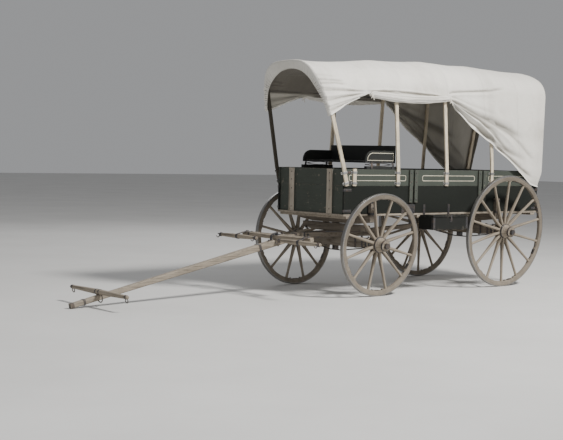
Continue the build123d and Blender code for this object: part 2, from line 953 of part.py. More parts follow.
def cover():
    """Canvas over the bows, rolled up along the sides and gathered at both ends."""
    inner = cover_clearance
    outer = inner + cover_thickness
    outer_sections = []
    inner_sections = []
    for (name, station, lean, crown), along in cover_stations():
        plane = bow_plane(station, lean, along)
        height = crown_along(crown, lean)
        outer_sections.append(plane * arch_slab(height, outer, cover_flare))
        inner_sections.append(plane * arch_slab(height, inner, cover_flare))
    shell = loft(outer_sections, ruled=True) - loft(inner_sections, ruled=True)
    shell += cover_lip(bows[0], front_lip, -1)
    shell += cover_lip(bows[-1], rear_lip, 1)
    high = max(crown for name, station, lean, crown in bows) + beyond_ends
    edge = hem_line()
    outline = Polyline(*edge, (edge[-1][0], high), (edge[0][0], high), close=True)
    keep = extrude(Plane.XZ * make_face(outline), amount=box_inside_width, both=True)
    shell = shell & keep
    roll = Pos((roll_start + roll_end) / 2, -roll_offset, roll_height)
    roll = roll * Rot(0, 90, 0) * Cylinder(roll_radius, roll_end - roll_start)
    for piece in both_sides(roll):
        shell += piece
    return shell


def seat():
    """Plank seat with curved arms and a low back."""
    bottom = box_top + seat_rail_height + seat_spring_height
    half = half_inside - 10
    rear = seat_front + seat_depth
    plank = block(seat_front + 40, rear, -half, half, bottom, bottom + board)
    side = board - 4
    radius = seat_arm_height
    start = seat_front
    outline = [
        Line((start, bottom), (rear, bottom)),
        Line((rear, bottom), (rear, bottom + board + seat_arm_height)),
        Line((rear, bottom + board + seat_arm_height), (start + radius, bottom + board + seat_arm_height)),
        RadiusArc(
            (start + radius, bottom + board + seat_arm_height), (start, bottom + board), -radius,
        ),
        Line((start, bottom + board), (start, bottom)),
    ]
    arm = extrude(Plane.XZ * make_face(outline), amount=side)
    arm = Pos(0, -half + side, 0) * arm
    back = block(rear - side, rear, -half, half, bottom, bottom + board + seat_back_height)
    whole = plank + back
    for piece in both_sides(arm):
        whole += piece
    return whole


def seat_rails():
    """Rails on the top edges of the box that carry the seat springs."""
    rail = block(
        seat_front, seat_front + seat_depth,
        -half_outside + seat_rail_inset, -half_outside + seat_rail_inset + seat_rail_width,
        box_top, box_top + seat_rail_height,
    )
    return group(both_sides(rail))


def seat_springs():
    """Flat springs between the rails and the seat."""
    low = box_top + seat_rail_height
    high = low + seat_spring_height
    middle = seat_front + seat_depth / 2
    half = seat_depth / 2 - 30
    t = seat_spring_thickness
    rise = high - low
    lower = make_face([
        ThreePointArc((-half, rise / 2), (0, 0), (half, rise / 2)),
        Line((half, rise / 2), (half, rise / 2 + t)),
        ThreePointArc((half, rise / 2 + t), (0, t), (-half, rise / 2 + t)),
        Line((-half, rise / 2 + t), (-half, rise / 2)),
    ])
    upper = make_face([
        ThreePointArc((-half, rise / 2), (0, rise), (half, rise / 2)),
        Line((half, rise / 2), (half, rise / 2 - t)),
        ThreePointArc((half, rise / 2 - t), (0, rise - t), (-half, rise / 2 - t)),
        Line((-half, rise / 2 - t), (-half, rise / 2)),
    ])
    place = Pos(middle, -half_inside + 12 + seat_rail_width / 2, low)
    leaf = place * (Plane.XZ * (lower + upper))
    spring = extrude(leaf, amount=16, both=True)
    return group(both_sides(spring))


def hinge_stations():
    """Middle of each hinge of the tool box lid."""
    return tool_box_start + hinge_inset, tool_box_start + tool_box_length - hinge_inset


def hinge_barrel(low, high):
    """Part of a hinge's barrel on the lid's turning axis."""
    near = -half_outside - strap_thickness - seat_gap
    barrel = Rot(0, 90, 0) * Cylinder(hinge_radius, high - low)
    return Pos((low + high) / 2, near - hinge_back, hinge_height) * barrel


def tool_box():
    """Open box hung on the near side, with the fixed ends of its hinges."""
    near = -half_outside - strap_thickness - seat_gap
    far = near - tool_box_depth
    bottom = tool_box_top - tool_box_height
    top = tool_box_top - tool_box_wall - lid_gap
    wall = tool_box_wall
    end = tool_box_start + tool_box_length
    body = block(tool_box_start, end, far, near, bottom, top)
    body -= block(tool_box_start + wall, end - wall, far + wall, near - wall, bottom + wall, top + 1)
    for station in hinge_stations():
        for way in (-1, 1):
            inner = station + way * (hinge_width / 2 + hinge_gap)
            outer = inner + way * hinge_width / 2
            low, high = sorted((inner, outer))
            leaf = block(
                low, high, near - hinge_back - hinge_radius / 2, near - hinge_back + hinge_radius / 2,
                top - 1, hinge_height,
            )
            body += hinge_barrel(low, high) + leaf
    return body


def tool_box_lid():
    """Lid of the tool box, with the moving middles of its hinges."""
    near = -half_outside - strap_thickness - seat_gap
    lid = block(
        tool_box_start - lid_overhang, tool_box_start + tool_box_length + lid_overhang,
        near - tool_box_depth - lid_overhang, near - lid_back, tool_box_top - tool_box_wall, tool_box_top,
    )
    for station in hinge_stations():
        low, high = station - hinge_width / 2, station + hinge_width / 2
        tongue_plate = block(
            low, high, near - lid_back - 1, near - hinge_back, hinge_height - 2, hinge_height + hinge_radius,
        )
        lid += hinge_barrel(low, high) + tongue_plate
    return lid


def tool_box_straps():
    """Iron straps from the side of the box, down and under the tool box."""
    pieces = []
    near = -half_outside
    far = near - strap_thickness - seat_gap - tool_box_depth
    bottom = tool_box_top - tool_box_height
    for station in (tool_box_start + strap_inset, tool_box_start + tool_box_length - strap_inset):
        low, high = station - strap_width / 2, station + strap_width / 2
        upright = block(
            low, high, near - strap_thickness, near, bottom - strap_thickness, floor_top + strap_rise,
        )
        foot = block(low, high, far, near, bottom - strap_thickness, bottom)
        pieces.append(upright + foot)
    return group(pieces)


def build():
    """Every node by name, still measured from the front end of the box."""
    nodes = {}
    wheels = [
        ("wheel_front_left", front_axle_x, front_wheel_radius, front_spokes, False),
        ("wheel_front_right", front_axle_x, front_wheel_radius, front_spokes, True),
        ("wheel_rear_left", rear_axle_x, rear_wheel_radius, rear_spokes, False),
        ("wheel_rear_right", rear_axle_x, rear_wheel_radius, rear_spokes, True),
    ]
    for name, station, radius, spoke_count, far in wheels:
        nodes.update(wheel_nodes(name, station, radius, spoke_count, far))
    nodes["front_axle"] = front_axle()
    nodes["front_skeins"] = skeins(front_axle_x, front_arm_z)
    nodes["sand_board"] = sand_board()
    nodes["front_hounds"] = front_hounds()
    nodes["sway_bar"] = sway_bar()
    nodes["tongue_pin"] = tongue_pin()
    nodes["front_bolster"] = front_bolster()
    nodes["king_pin"] = king_pin()
    nodes["reach"] = reach()
    nodes["rear_axle"] = axle_bed(rear_axle_x, rear_arm_z)
    nodes["rear_skeins"] = skeins(rear_axle_x, rear_arm_z)
    nodes["rear_bolster"] = bolster(rear_axle_x, rear_bolster_bottom)
    nodes["rear_hounds"] = rear_hounds(nodes["rear_axle"], nodes["rear_bolster"], nodes["reach"])
    nodes["tongue"] = tongue()
    nodes["evener"] = evener()
    nodes["evener_pin"] = evener_pin()
    nodes["singletree_left"] = singletree(-1)
    nodes["singletree_right"] = singletree(1)
    nodes["neck_yoke"] = neck_yoke()
    nodes["box_floor"] = box_floor()
    nodes["floor_sills"] = floor_sills()
    for name, bottom, height in (("lower", floor_top, lower_side_height), ("upper", side_top, upper_side_height)):
        near, far = both_sides(side_board(bottom, height))
        nodes[name + "_side_left"] = near
        nodes[name + "_side_right"] = far
    nodes["front_gate"] = front_gate()
    nodes["rear_gate"] = rear_gate()
    nodes["gate_cleats"] = gate_cleats()
    nodes["side_cleats"] = side_cleats()
    nodes["rub_irons"] = rub_irons()
    for name, station, lean, crown in bows:
        nodes[name] = bow(station, lean, crown)
    nodes["bow_second"] = bow_stumps()
    nodes["bow_staples"] = bow_staples()
    nodes["cover"] = cover()
    nodes["seat"] = seat()
    nodes["seat_rails"] = seat_rails()
    nodes["seat_springs"] = seat_springs()
    nodes["tool_box"] = tool_box()
    nodes["tool_box_lid"] = tool_box_lid()
    nodes["tool_box_straps"] = tool_box_straps()
    return nodes


def middle_station(nodes):
    """Station halfway between the tip of the tongue and the back of the canvas."""
    front_reach = min(nodes[name].bounding_box().min.X for name in ("tongue", "neck_yoke"))
    rear_reach = nodes["cover"].bounding_box().max.X
    return (front_reach + rear_reach) / 2


if __name__ == "__main__":
    nodes = build()
    middle = middle_station(nodes)
    os.makedirs("parts", exist_ok=True)
    for name, shape in nodes.items():
        export_step(Pos(-middle, 0, 0) * shape, os.path.join("parts", name + ".step"))
    print("nodes", len(nodes), "middle", round(middle, 3))
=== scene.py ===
import bpy
import json
import math
import random
import bmesh
from mathutils import Matrix, Vector, noise


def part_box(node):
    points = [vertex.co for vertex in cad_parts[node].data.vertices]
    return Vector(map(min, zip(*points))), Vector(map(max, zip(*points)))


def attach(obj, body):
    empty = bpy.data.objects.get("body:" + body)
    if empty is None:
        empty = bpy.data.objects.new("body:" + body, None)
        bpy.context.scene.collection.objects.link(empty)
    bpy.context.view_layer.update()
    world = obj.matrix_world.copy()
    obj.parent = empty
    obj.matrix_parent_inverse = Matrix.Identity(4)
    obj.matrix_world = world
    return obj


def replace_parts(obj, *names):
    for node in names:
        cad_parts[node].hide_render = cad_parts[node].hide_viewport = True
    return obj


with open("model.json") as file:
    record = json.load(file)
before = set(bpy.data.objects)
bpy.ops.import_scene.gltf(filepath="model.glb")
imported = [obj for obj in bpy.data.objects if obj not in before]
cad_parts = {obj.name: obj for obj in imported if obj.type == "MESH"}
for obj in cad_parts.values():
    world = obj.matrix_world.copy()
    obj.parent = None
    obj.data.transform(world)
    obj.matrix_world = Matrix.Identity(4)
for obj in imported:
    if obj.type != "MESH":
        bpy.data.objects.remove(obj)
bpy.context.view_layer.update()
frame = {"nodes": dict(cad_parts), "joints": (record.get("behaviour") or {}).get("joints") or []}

# Stations are measured back from the front end of the box, in metres; the near side is -Y.
nodes = frame["nodes"]
joints = {joint["name"]: joint for joint in frame["joints"]}
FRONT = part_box("box_floor")[0].x
BOX_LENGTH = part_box("box_floor")[1].x - FRONT
HALF_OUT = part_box("lower_side_right")[1].y
BOARD = HALF_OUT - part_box("lower_side_right")[0].y
FLOOR_LOW, FLOOR_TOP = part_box("box_floor")[0].z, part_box("box_floor")[1].z
SIDE_TOP, BOX_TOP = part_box("upper_side_left")[0].z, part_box("upper_side_left")[1].z
WHEELS = ("front_left", "front_right", "rear_left", "rear_right")
SIDES = ((-1, "left"), (1, "right"))
BOTH = (-1, 1)
UP, DOWN, FORE, AFT = (0, 0, 1), (0, 0, -1), (-1, 0, 0), (1, 0, 0)
CORNERS = ((1, 1), (-1, 1), (-1, -1), (1, -1))


def at(station, y, z):
    """Point in the row frame from a station."""
    return Vector((FRONT + station, y, z))


def station_box(name):
    """Lowest and highest corners of a node, with X as a station."""
    low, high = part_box(name)
    return Vector((low.x - FRONT, low.y, low.z)), Vector((high.x - FRONT, high.y, high.z))


def clamp(value):
    return min(1.0, max(0.0, value))


def smooth(low, high, value):
    """0 at low, 1 at high, eased between."""
    t = clamp((value - low) / (high - low))
    return t * t * (3 - 2 * t)


def wobble(x, y, z, seed):
    """Seeded smooth noise, about -0.5 to 0.5."""
    return noise.noise(Vector((x + 17.3 * seed, y - 9.1 * seed, z)))


def turns(count, offset=0.0):
    """Angles all the way round."""
    return [math.tau * (k + offset) / count for k in range(count)]


def circle(radius, t):
    return radius * math.cos(t), radius * math.sin(t)


# Materials

class Nodes:
    """A material's nodes; inputs are values or outputs, and the named kinds give their main output."""

    def __init__(self, name):
        self.material = bpy.data.materials.new(name)
        self.material.use_nodes = True
        self.tree = self.material.node_tree
        self.shader = self.tree.nodes["Principled BSDF"]

    def set(self, node, key, value):
        """Sets or links one input."""
        if isinstance(value, bpy.types.NodeSocket):
            self.tree.links.new(value, node.inputs[key])
        elif value is not None:
            node.inputs[key].default_value = value

    def finish(self, **inputs):
        """Sets or links the shader's inputs."""
        for key, value in inputs.items():
            self.set(self.shader, key.replace("_", " "), value)
        return self.material

    def add(self, kind, settings=None, **inputs):
        node = self.tree.nodes.new("ShaderNode" + kind)
        for key, value in (settings or {}).items():
            setattr(node, key, value)
        for key, value in inputs.items():
            self.set(node, int(key[1:]) if key[0] == "_" else key, value)
        return node.outputs

    def noise(self, source, scale, detail=5.0, rough=0.6, bend=0.0):
        return self.add("TexNoise", None, Vector=source, Scale=scale, Detail=detail, Roughness=rough,
                        Distortion=bend)[0]

    def scaled(self, source, scale):
        return self.add("Mapping", None, Vector=source, Scale=scale)[0]

    def ramp(self, source, *stops):
        """Colour ramp from (place, colour) stops."""
        node = self.tree.nodes.new("ShaderNodeValToRGB")
        self.tree.links.new(source, node.inputs[0])
        elements = node.color_ramp.elements
        while len(elements) < len(stops):
            elements.new(0.5)
        for element, (place, colour) in zip(elements, stops):
            element.position = place
            tint = colour if hasattr(colour, "__len__") else (colour,) * 3
            element.color = (*tint, 1)
        return node.outputs[0]

    def mix(self, share, a, b, kind="MIX"):
        """Colour mix of a and b by share."""
        colours = [c if isinstance(c, bpy.types.NodeSocket) else (*c, 1) for c in (a, b)]
        settings = {"data_type": "RGBA", "blend_type": kind}
        return self.add("Mix", settings, _0=share, _6=colours[0], _7=colours[1])[2]

    def times(self, a, b, share=1.0):
        return self.mix(share, a, b, "MULTIPLY")

    def math(self, operation, a, b, c=None):
        return self.add("Math", {"operation": operation}, _0=a, _1=b, _2=c)[0]

    def bump(self, strength, distance, height, normal=None):
        return self.add("Bump", None, Strength=strength, Distance=distance, Height=height, Normal=normal)[0]

    def edges(self, radius):
        """1 along edges, 0 on flat faces."""
        bevel = self.add("Bevel", {"samples": 4}, Radius=radius)[0]
        flat = self.add("NewGeometry")["Normal"]
        facing = self.add("VectorMath", {"operation": "DOT_PRODUCT"}, _0=bevel, _1=flat)["Value"]
        return self.ramp(facing, (0.80, 1.0), (0.985, 0.0))


def shade(colour, by):
    return tuple(min(1.0, c * by) for c in colour)


# how much slower the grain changes along each direction
GRAIN = {"x": (0.03, 1, 1), "y": (1, 0.03, 1), "z": (1, 1, 0.03), "uv": (0.03, 1, 1)}
DUST = (0.36, 0.315, 0.255)


def wood(name, light, dark, axis, rough=0.74, paint=None, wear=0.5, dust=0.55, sheen=0.28, far=1.0):
    """Sawn or turned wood with growth lines, checks and dust; paint is worn off at edges and in flakes.

    far is how much of the wood's colour is kept on the far side of the wagon: below 1 it paints shade there.
    """
    n = Nodes(name)
    coords = n.add("TexCoord")
    source = coords["UV" if axis == "uv" else "Object"]
    flow = n.scaled(source, GRAIN[axis])
    rings = n.noise(flow, 20.0, 5.0, 0.5, 0.5)
    lines = n.math("PINGPONG", n.math("MULTIPLY", rings, 7.0), 0.5)
    fibre = n.noise(flow, 210.0, 6.0, 0.72)
    blotch = n.noise(source, 2.6, 6.0, 0.62)
    patch = n.noise(source, 9.0, 6.0, 0.66)
    grain = n.ramp(lines, (0.0, dark), (0.16, shade(light, 0.86)), (0.5, light))
    bare = n.times(grain, n.ramp(fibre, (0.3, 0.6), (0.52, 1.0), (0.75, 1.12)), 0.85)
    tone = n.ramp(blotch, (0.28, 0.7), (0.72, 1.15))
    bare = n.times(bare, tone)
    # drying checks run along the grain
    crack = n.noise(flow, 46.0, 2.0, 0.5, 0.2)
    check = n.ramp(crack, (0.484, 1.0), (0.5, 0.18), (0.516, 1.0))
    some = n.ramp(patch, (0.46, 0.0), (0.60, 1.0))
    checked = n.mix(some, (1, 1, 1), check)
    bare = n.times(bare, checked)
    edges = n.edges(0.005)
    scuff = n.noise(source, 30.0, 8.0, 0.72)
    if paint:
        flake = n.math("MULTIPLY_ADD", fibre, 0.45, scuff)
        flake = n.math("MULTIPLY_ADD", patch, 0.7, flake)
        flake = n.math("MULTIPLY_ADD", edges, 0.26, flake)
        start = 1.42 - 0.32 * wear
        shown = n.ramp(n.math("SUBTRACT", flake, start - 0.5), (0.5, 0.0), (0.56, 1.0))
        coat = n.mix(tone, shade(paint, 0.66), shade(paint, 1.08))
        coat = n.times(coat, n.ramp(fibre, (0.3, 0.86), (0.7, 1.08)))
        colour = n.mix(shown, coat, bare)
        height = n.math("MULTIPLY_ADD", shown, -0.8, fibre)
    else:
        colour = n.mix(n.math("MULTIPLY", edges, scuff), bare, shade(light, 1.45))
        height = n.math("MULTIPLY_ADD", checked, 2.0, fibre)
    # dust clings lower down and in patches
    split = n.add("SeparateXYZ", None, Vector=coords["Object"])
    fall = n.ramp(split["Z"], (0.0, dust), (0.75, 0.10 * dust), (1.0, 0.06 * dust))
    film = n.math("MULTIPLY", fall, n.ramp(patch, (0.35, 0.25), (0.65, 1.0)))
    colour = n.mix(film, colour, DUST)
    # painted shade: the far side of the wagon is darkened to far times its colour
    if far < 1:
        colour = n.times(colour, n.ramp(split["Y"], (0.25, 1.0), (0.42, far)))
    gloss = n.ramp(patch, (0.3, rough - 0.12), (0.7, min(1.0, rough + 0.14)))
    bump = n.bump(0.5, 0.0010, height)
    return n.finish(Base_Color=colour, Specular_IOR_Level=sheen, Roughness=gloss, Normal=bump)


def iron(name, colour, rust, rough=0.5, rusty=0.5, metal=0.85, dust=0.35):
    """Forged iron with rust in patches, hammer marks and brighter worn edges."""
    n = Nodes(name)
    source = n.add("TexCoord")["Object"]
    patch = n.noise(source, 14.0, 8.0, 0.68)
    pit = n.noise(source, 170.0, 4.0, 0.7)
    cover = n.ramp(patch, (0.88 - rusty, 0.0), (1.14 - rusty, 1.0))
    brown = n.mix(pit, shade(rust, 0.55), rust)
    clean = n.mix(n.edges(0.003), colour, tuple(min(1.0, c * 2.4 + 0.05) for c in colour))
    base = n.mix(cover, clean, brown)
    split = n.add("SeparateXYZ", None, Vector=source)
    fall = n.ramp(split["Z"], (0.0, dust), (0.7, 0.08 * dust))
    base = n.mix(n.math("MULTIPLY", fall, pit), base, DUST)
    metallic = n.ramp(cover, (0.0, metal), (1.0, 0.1))
    gloss = n.ramp(cover, (0.0, rough), (1.0, min(0.95, rough + 0.35)))
    return n.finish(Base_Color=base, Metallic=metallic, Roughness=gloss, Normal=n.bump(0.4, 0.0008, pit))


def canvas(name, light, dark, weave=0.0016, inside_shade=None):
    """Weathered cotton duck: plain weave, water marks, creases and dust; painted shade darkens it inside."""
    n = Nodes(name)
    coords = n.add("TexCoord")
    source = coords["Object"]
    big = n.noise(source, 1.5, 7.0, 0.6, 0.5)
    streak = n.noise(n.scaled(source, (6.0, 1.0, 1.0)), 1.4, 6.0, 0.66)
    fibre = n.noise(source, 260.0, 3.0, 0.7)
    tone = n.ramp(big, (0.26, dark), (0.52, light), (0.8, shade(light, 1.04)))
    colour = n.times(tone, n.ramp(streak, (0.30, 0.88), (0.60, 1.0)), 0.7)
    # the per-point mark darkens the cloth with real stains and with painted shade in its creases and gathers
    stain_and_shade_fac = n.add("Attribute", {"attribute_name": "stain_and_shade"})["Fac"]
    soiled_and_shaded = n.mix(stain_and_shade_fac, colour, shade(dark, 0.55))
    colour = n.times(soiled_and_shaded, n.ramp(fibre, (0.2, 0.92), (0.8, 1.06)))
    # painted shade inside the cover, spread unevenly, towards a dark shade colour
    if inside_shade:
        inside_shade_fac = n.add("Attribute", {"attribute_name": "inside_shade"})["Fac"]
        uneven = n.math("MULTIPLY_ADD", big, 0.5, 0.72)
        colour = n.mix(n.math("MULTIPLY", inside_shade_fac, uneven), colour, inside_shade)
    waves = [n.add("TexWave", {"bands_direction": direction}, Vector=coords["UV"], Scale=0.314 / weave,
                   Distortion=0.4, Detail=1.0)[1] for direction in ("X", "Y")]
    cross = n.math("MAXIMUM", *waves)
    crumple = n.noise(source, 6.5, 8.0, 0.6, 1.2)
    dents = n.bump(0.5, 0.020, crumple)
    return n.finish(Base_Color=colour, Roughness=0.88, Specular_IOR_Level=0.15, Sheen_Weight=0.2,
                    Sheen_Roughness=0.6, Normal=n.bump(0.35, 0.0006, cross, dents))


GEAR = ((0.200, 0.170, 0.136), (0.085, 0.068, 0.052))
SPOKE = ((0.290, 0.245, 0.190), (0.135, 0.110, 0.084))
RIM = ((0.185, 0.157, 0.124), (0.090, 0.073, 0.056))
POLE = ((0.315, 0.268, 0.208), (0.150, 0.122, 0.092))
BOARDS = ((0.270, 0.232, 0.184), (0.120, 0.098, 0.075))
ASH = ((0.70, 0.61, 0.46), (0.50, 0.42, 0.305))


def painted(name, axis, paint, wear, dust, sheen=0.14, rough=0.74):
    return wood(name, *BOARDS, axis, rough, paint, wear, dust, sheen)


MATS = {
    "gear": wood("weathered_gear_wood", *GEAR, "y"),
    "gear_x": wood("weathered_gear_wood_long", *GEAR, "x"),
    "wheel": wood("weathered_wheel_wood", *SPOKE, "uv"),
    "felloe": wood("weathered_felloe_wood", *RIM, "uv"),
    "pole": wood("weathered_pole_wood", *POLE, "x"),
    "tree": wood("weathered_tree_wood", *POLE, "y"),
    "turned": wood("weathered_turned_wood", *POLE, "uv"),
    "lower": painted("painted_lower_board", "x", (0.013, 0.015, 0.013), 0.30, 0.12, 0.12),
    "upper": painted("painted_upper_board", "x", (0.052, 0.060, 0.050), 0.45, 0.1),
    "cleat": painted("painted_cleat", "z", (0.058, 0.066, 0.056), 0.60, 0.15),
    "gate": painted("painted_gate", "y", (0.060, 0.068, 0.058), 0.60, 0.2),
    "post": wood("worn_gate_post", (0.42, 0.37, 0.30), (0.22, 0.185, 0.145), "z", dust=0.2),
    "box_wood": painted("dark_tool_box_wood", "x", (0.014, 0.015, 0.014), 0.40, 0.12, 0.12),
    "floor": wood("worn_floor_boards", (0.34, 0.295, 0.235), (0.17, 0.14, 0.11), "x", dust=0.4),
    "ash": wood("bent_ash", *ASH, "z", rough=0.6, dust=0.1),
    # the front bow, its far leg darkened by painted shade
    "ash_far_shade": wood("bent_ash_painted_shade_far_leg", *ASH, "z", rough=0.6, dust=0.1, far=0.10),
    "seat": painted("painted_seat", "y", (0.020, 0.021, 0.020), 0.25, 0.08, 0.2, 0.55),
    "iron": iron("forged_iron", (0.070, 0.070, 0.075), (0.15, 0.095, 0.06), rusty=0.42),
    "tyre": iron("worn_tyre_iron", (0.24, 0.235, 0.23), (0.19, 0.135, 0.095), rough=0.38, rusty=0.34),
    "bright": iron("galvanised_staple_iron", (0.42, 0.42, 0.41), (0.25, 0.19, 0.14), rough=0.4, rusty=0.22),
    "canvas": canvas("cotton_duck", (0.80, 0.775, 0.715), (0.60, 0.57, 0.505)),
    "hem": canvas("cotton_duck_hem", (0.88, 0.86, 0.80), (0.72, 0.69, 0.62)),
    # the inside copy of the cloth is darker as painted shade
    "inside": canvas("cotton_duck_inside_shaded", (0.60, 0.57, 0.50), (0.42, 0.395, 0.34),
                     inside_shade=(0.155, 0.142, 0.120)),
    "tape": canvas("cotton_tape", (0.70, 0.66, 0.57), (0.46, 0.42, 0.34), weave=0.0009),
    "stripe": wood("stripe_paint", (0.62, 0.58, 0.46), (0.50, 0.46, 0.36), "x", rough=0.6, dust=0.1),
}


# Meshes

QUARTER = math.pi / 2


def frame_from(origin, z_axis, x_axis=(1, 0, 0)):
    """Place with Z along z_axis and X near x_axis."""
    z = Vector(z_axis).normalized()
    x = Vector(x_axis)
    x = (x - z * x.dot(z)).normalized()
    place = Matrix((x, z.cross(x), z)).transposed().to_4x4()
    place.translation = Vector(origin)
    return place


def moved(place, x=0.0, y=0.0, z=0.0, turn=0.0, axis="X"):
    """A place moved along its own axes, then turned about one of them."""
    return place @ Matrix.Translation((x, y, z)) @ Matrix.Rotation(turn, 4, axis)


def rounded(a, b, r):
    """Rectangle of half sizes a and b, with three points at each corner."""
    outline = []
    for sa, sb in CORNERS:
        corner = [(a * sa, (b - r) * sb), ((a - 0.3 * r) * sa, (b - 0.3 * r) * sb), ((a - r) * sa, b * sb)]
        outline.extend(corner if sa * sb > 0 else corner[::-1])
    return outline


def headings(points):
    """The way along a line at each of its points."""
    last = len(points) - 1
    return [(points[min(k + 1, last)] - points[max(k - 1, 0)]).normalized() for k in range(last + 1)]


def mirrored(rows):
    """(offset, radius) rows of a turned bar, from one end to its middle, with the other half added."""
    return rows + [(-offset, radius) for offset, radius in reversed(rows) if offset]


class Shape:
    """Collects solids into one mesh."""

    def __init__(self):
        self.verts = []
        self.faces = []
        self.uvs = []

    def grid(self, rows, closed_u=False, closed_v=False, cap=False, uv=None):
        """Rows of points, skinned; uv(i, j) gives coordinates in metres."""
        base = len(self.verts)
        count_u, count_v = len(rows), len(rows[0])
        for row in rows:
            self.verts.extend(tuple(p) for p in row)
        for i in range(count_u if closed_u else count_u - 1):
            for j in range(count_v if closed_v else count_v - 1):
                a, b = base + i * count_v, base + (i + 1) % count_u * count_v
                d = (j + 1) % count_v
                self.faces.append([a + j, a + d, b + d, b + j])
                corners = ((i, j), (i, j + 1), (i + 1, j + 1), (i + 1, j))
                self.uvs.append([uv(*corner) if uv else (0, 0) for corner in corners])
        if cap:
            for row, flip in ((0, False), (count_u - 1, True)):
                ring = [base + row * count_v + j for j in range(count_v)]
                self.faces.append(ring if flip else ring[::-1])
                self.uvs.append([(self.verts[k][0], self.verts[k][1]) for k in self.faces[-1]])

    def lathe(self, place, profile, segments=32, closed=False):
        """Profile of (height, radius) turned about the place's Z."""
        run = [0.0]
        for a, b in zip(profile, profile[1:] + profile[:1]):
            run.append(run[-1] + math.dist(a, b))
        reach = max(r for h, r in profile)
        rows = [[place @ Vector((*circle(r, t), h)) for t in turns(segments)] for h, r in profile]
        self.grid(rows, closed_u=closed, closed_v=True, cap=not closed,
                  uv=lambda i, j: (run[i], math.tau * reach * j / segments))

    def ring(self, place, half, inside, outside, segments=28):
        """Plain band about the place's Z."""
        profile = [(-half, inside), (-half, outside), (half, outside), (half, inside)]
        self.lathe(place, profile, segments, closed=True)

    def ferrule(self, place, half, inside, shoulder, outside, segments=28):
        """Band with eased edges about the place's Z."""
        flat = half - 0.002
        profile = [(-half, inside), (-half, shoulder), (-flat, outside), (flat, outside), (half, shoulder),
                   (half, inside)]
        self.lathe(place, profile, segments, closed=True)

    def loft(self, sections, cap=True):
        """Closed sections of equal count; the grain runs along them."""
        run = [0.0]
        for a, b in zip(sections, sections[1:]):
            run.append(run[-1] + (Vector(b[0]) - Vector(a[0])).length)
        first = [Vector(p) for p in sections[0]]
        count = len(first)
        girth = sum((first[k] - first[k - 1]).length for k in range(count))
        self.grid(sections, closed_v=True, cap=cap, uv=lambda i, j: (run[i], girth * j / count))

    def tube(self, points, radius, sides=10, cap=True):
        """Round bar along points; radius is a number or one per point."""
        points = [Vector(p) for p in points]
        radii = radius if hasattr(radius, "__len__") else [radius] * len(points)
        sections = []
        side = None
        for point, way, r in zip(points, headings(points), radii):
            if side is None:
                side = way.orthogonal().normalized()
            side = (side - way * side.dot(way)).normalized()
            other = way.cross(side)
            sections.append([point + r * (side * math.cos(t) + other * math.sin(t)) for t in turns(sides)])
        self.loft(sections, cap)

    def bar(self, points, width, thick, up=UP):
        """Flat bar along points with rounded corners; up is the way its thickness faces."""
        points = [Vector(p) for p in points]
        outline = rounded(width / 2, thick / 2, min(width, thick) / 4)
        sections = []
        for k, (point, way) in enumerate(zip(points, headings(points))):
            face = Vector(up[k] if hasattr(up[0], "__len__") else up)
            across = way.cross(face).normalized()
            face = across.cross(way).normalized()
            sections.append([point + across * a + face * b for a, b in outline])
        self.loft(sections)

    def block(self, low, high, place=Matrix.Identity(4), round_by=0.002):
        """Block with rounded long edges, from corner to corner."""
        low, high = Vector(low), Vector(high)
        size = high - low
        thick, wide, along = sorted(range(3), key=lambda k: size[k])
        r = min(round_by, size[thick] * 0.45)
        outline = rounded(size[wide] / 2, size[thick] / 2, r)
        sections = []
        for shift, shrink in ((0, r), (r, 0), (size[along] - r, 0), (size[along], r)):
            row = []
            for a, b in outline:
                point = (low + high) / 2
                point[along] = low[along] + shift
                point[wide] += a - math.copysign(min(shrink, abs(a)), a)
                point[thick] += b - math.copysign(min(shrink, abs(b)), b)
                row.append(place @ point)
            sections.append(row)
        self.loft(sections)

    def slab(self, xs, ys, zs, side=1, round_by=0.001):
        """Block between two stations, widths and heights; side -1 puts it on the near side."""
        y0, y1 = sorted((ys[0] * side, ys[1] * side))
        self.block(at(xs[0], y0, zs[0]), at(xs[1], y1, zs[1]), round_by=round_by)

    def bolt(self, place, radius=0.009, height=0.006, square=False, washer=False):
        """Carriage bolt head, or a square nut, standing along the place's Z."""
        if washer:
            self.lathe(place, [(0, radius * 1.5), (0.0015, radius * 1.5), (0.002, radius * 1.4)], 16)
        if square:
            self.block((-radius, -radius, 0.001), (radius, radius, height), place, 0.001)
            self.lathe(place, [(height, radius * 0.55), (height + 0.004, radius * 0.5)], 10)
        else:
            dome = [(height * math.sin(t), radius * math.cos(t)) for t in (0, 0.35, 0.7, 1.0, 1.3)]
            self.lathe(place, [(-0.001, radius)] + dome, 14)

    def stud(self, x, y, z, way, radius=0.009, height=0.006, **more):
        """Bolt at a station, its head facing the given way."""
        place = frame_from(at(x, y, z), way, (0, 1, 0) if way[0] else (1, 0, 0))
        self.bolt(place, radius, height, **more)

    def side_bolt(self, x, y, z, side, radius=0.007, height=0.0045, **more):
        """Bolt whose head faces out from one side of the wagon."""
        self.stud(x, y * side, z, (0, side, 0), radius, height, **more)

    def hoop(self, place, half_x, half_y, width, thick):
        """Flat band round a rectangle, its width along the place's Z."""
        outline = []
        r = thick * 1.4
        for sx, sy in CORNERS:
            for turn in (0, 45, 90):
                x, y = circle(r, math.radians(turn if sx * sy > 0 else 90 - turn))
                outline.append((sx * (half_x - r + x), sy * (half_y - r + y)))
        rows = []
        for grow, z in ((0, -width / 2), (thick, -width / 2), (thick, width / 2), (0, width / 2)):
            grown = [(x + math.copysign(grow, x), y + math.copysign(grow, y), z) for x, y in outline]
            rows.append([place @ Vector(p) for p in grown])
        self.grid(rows, closed_u=True, closed_v=True)

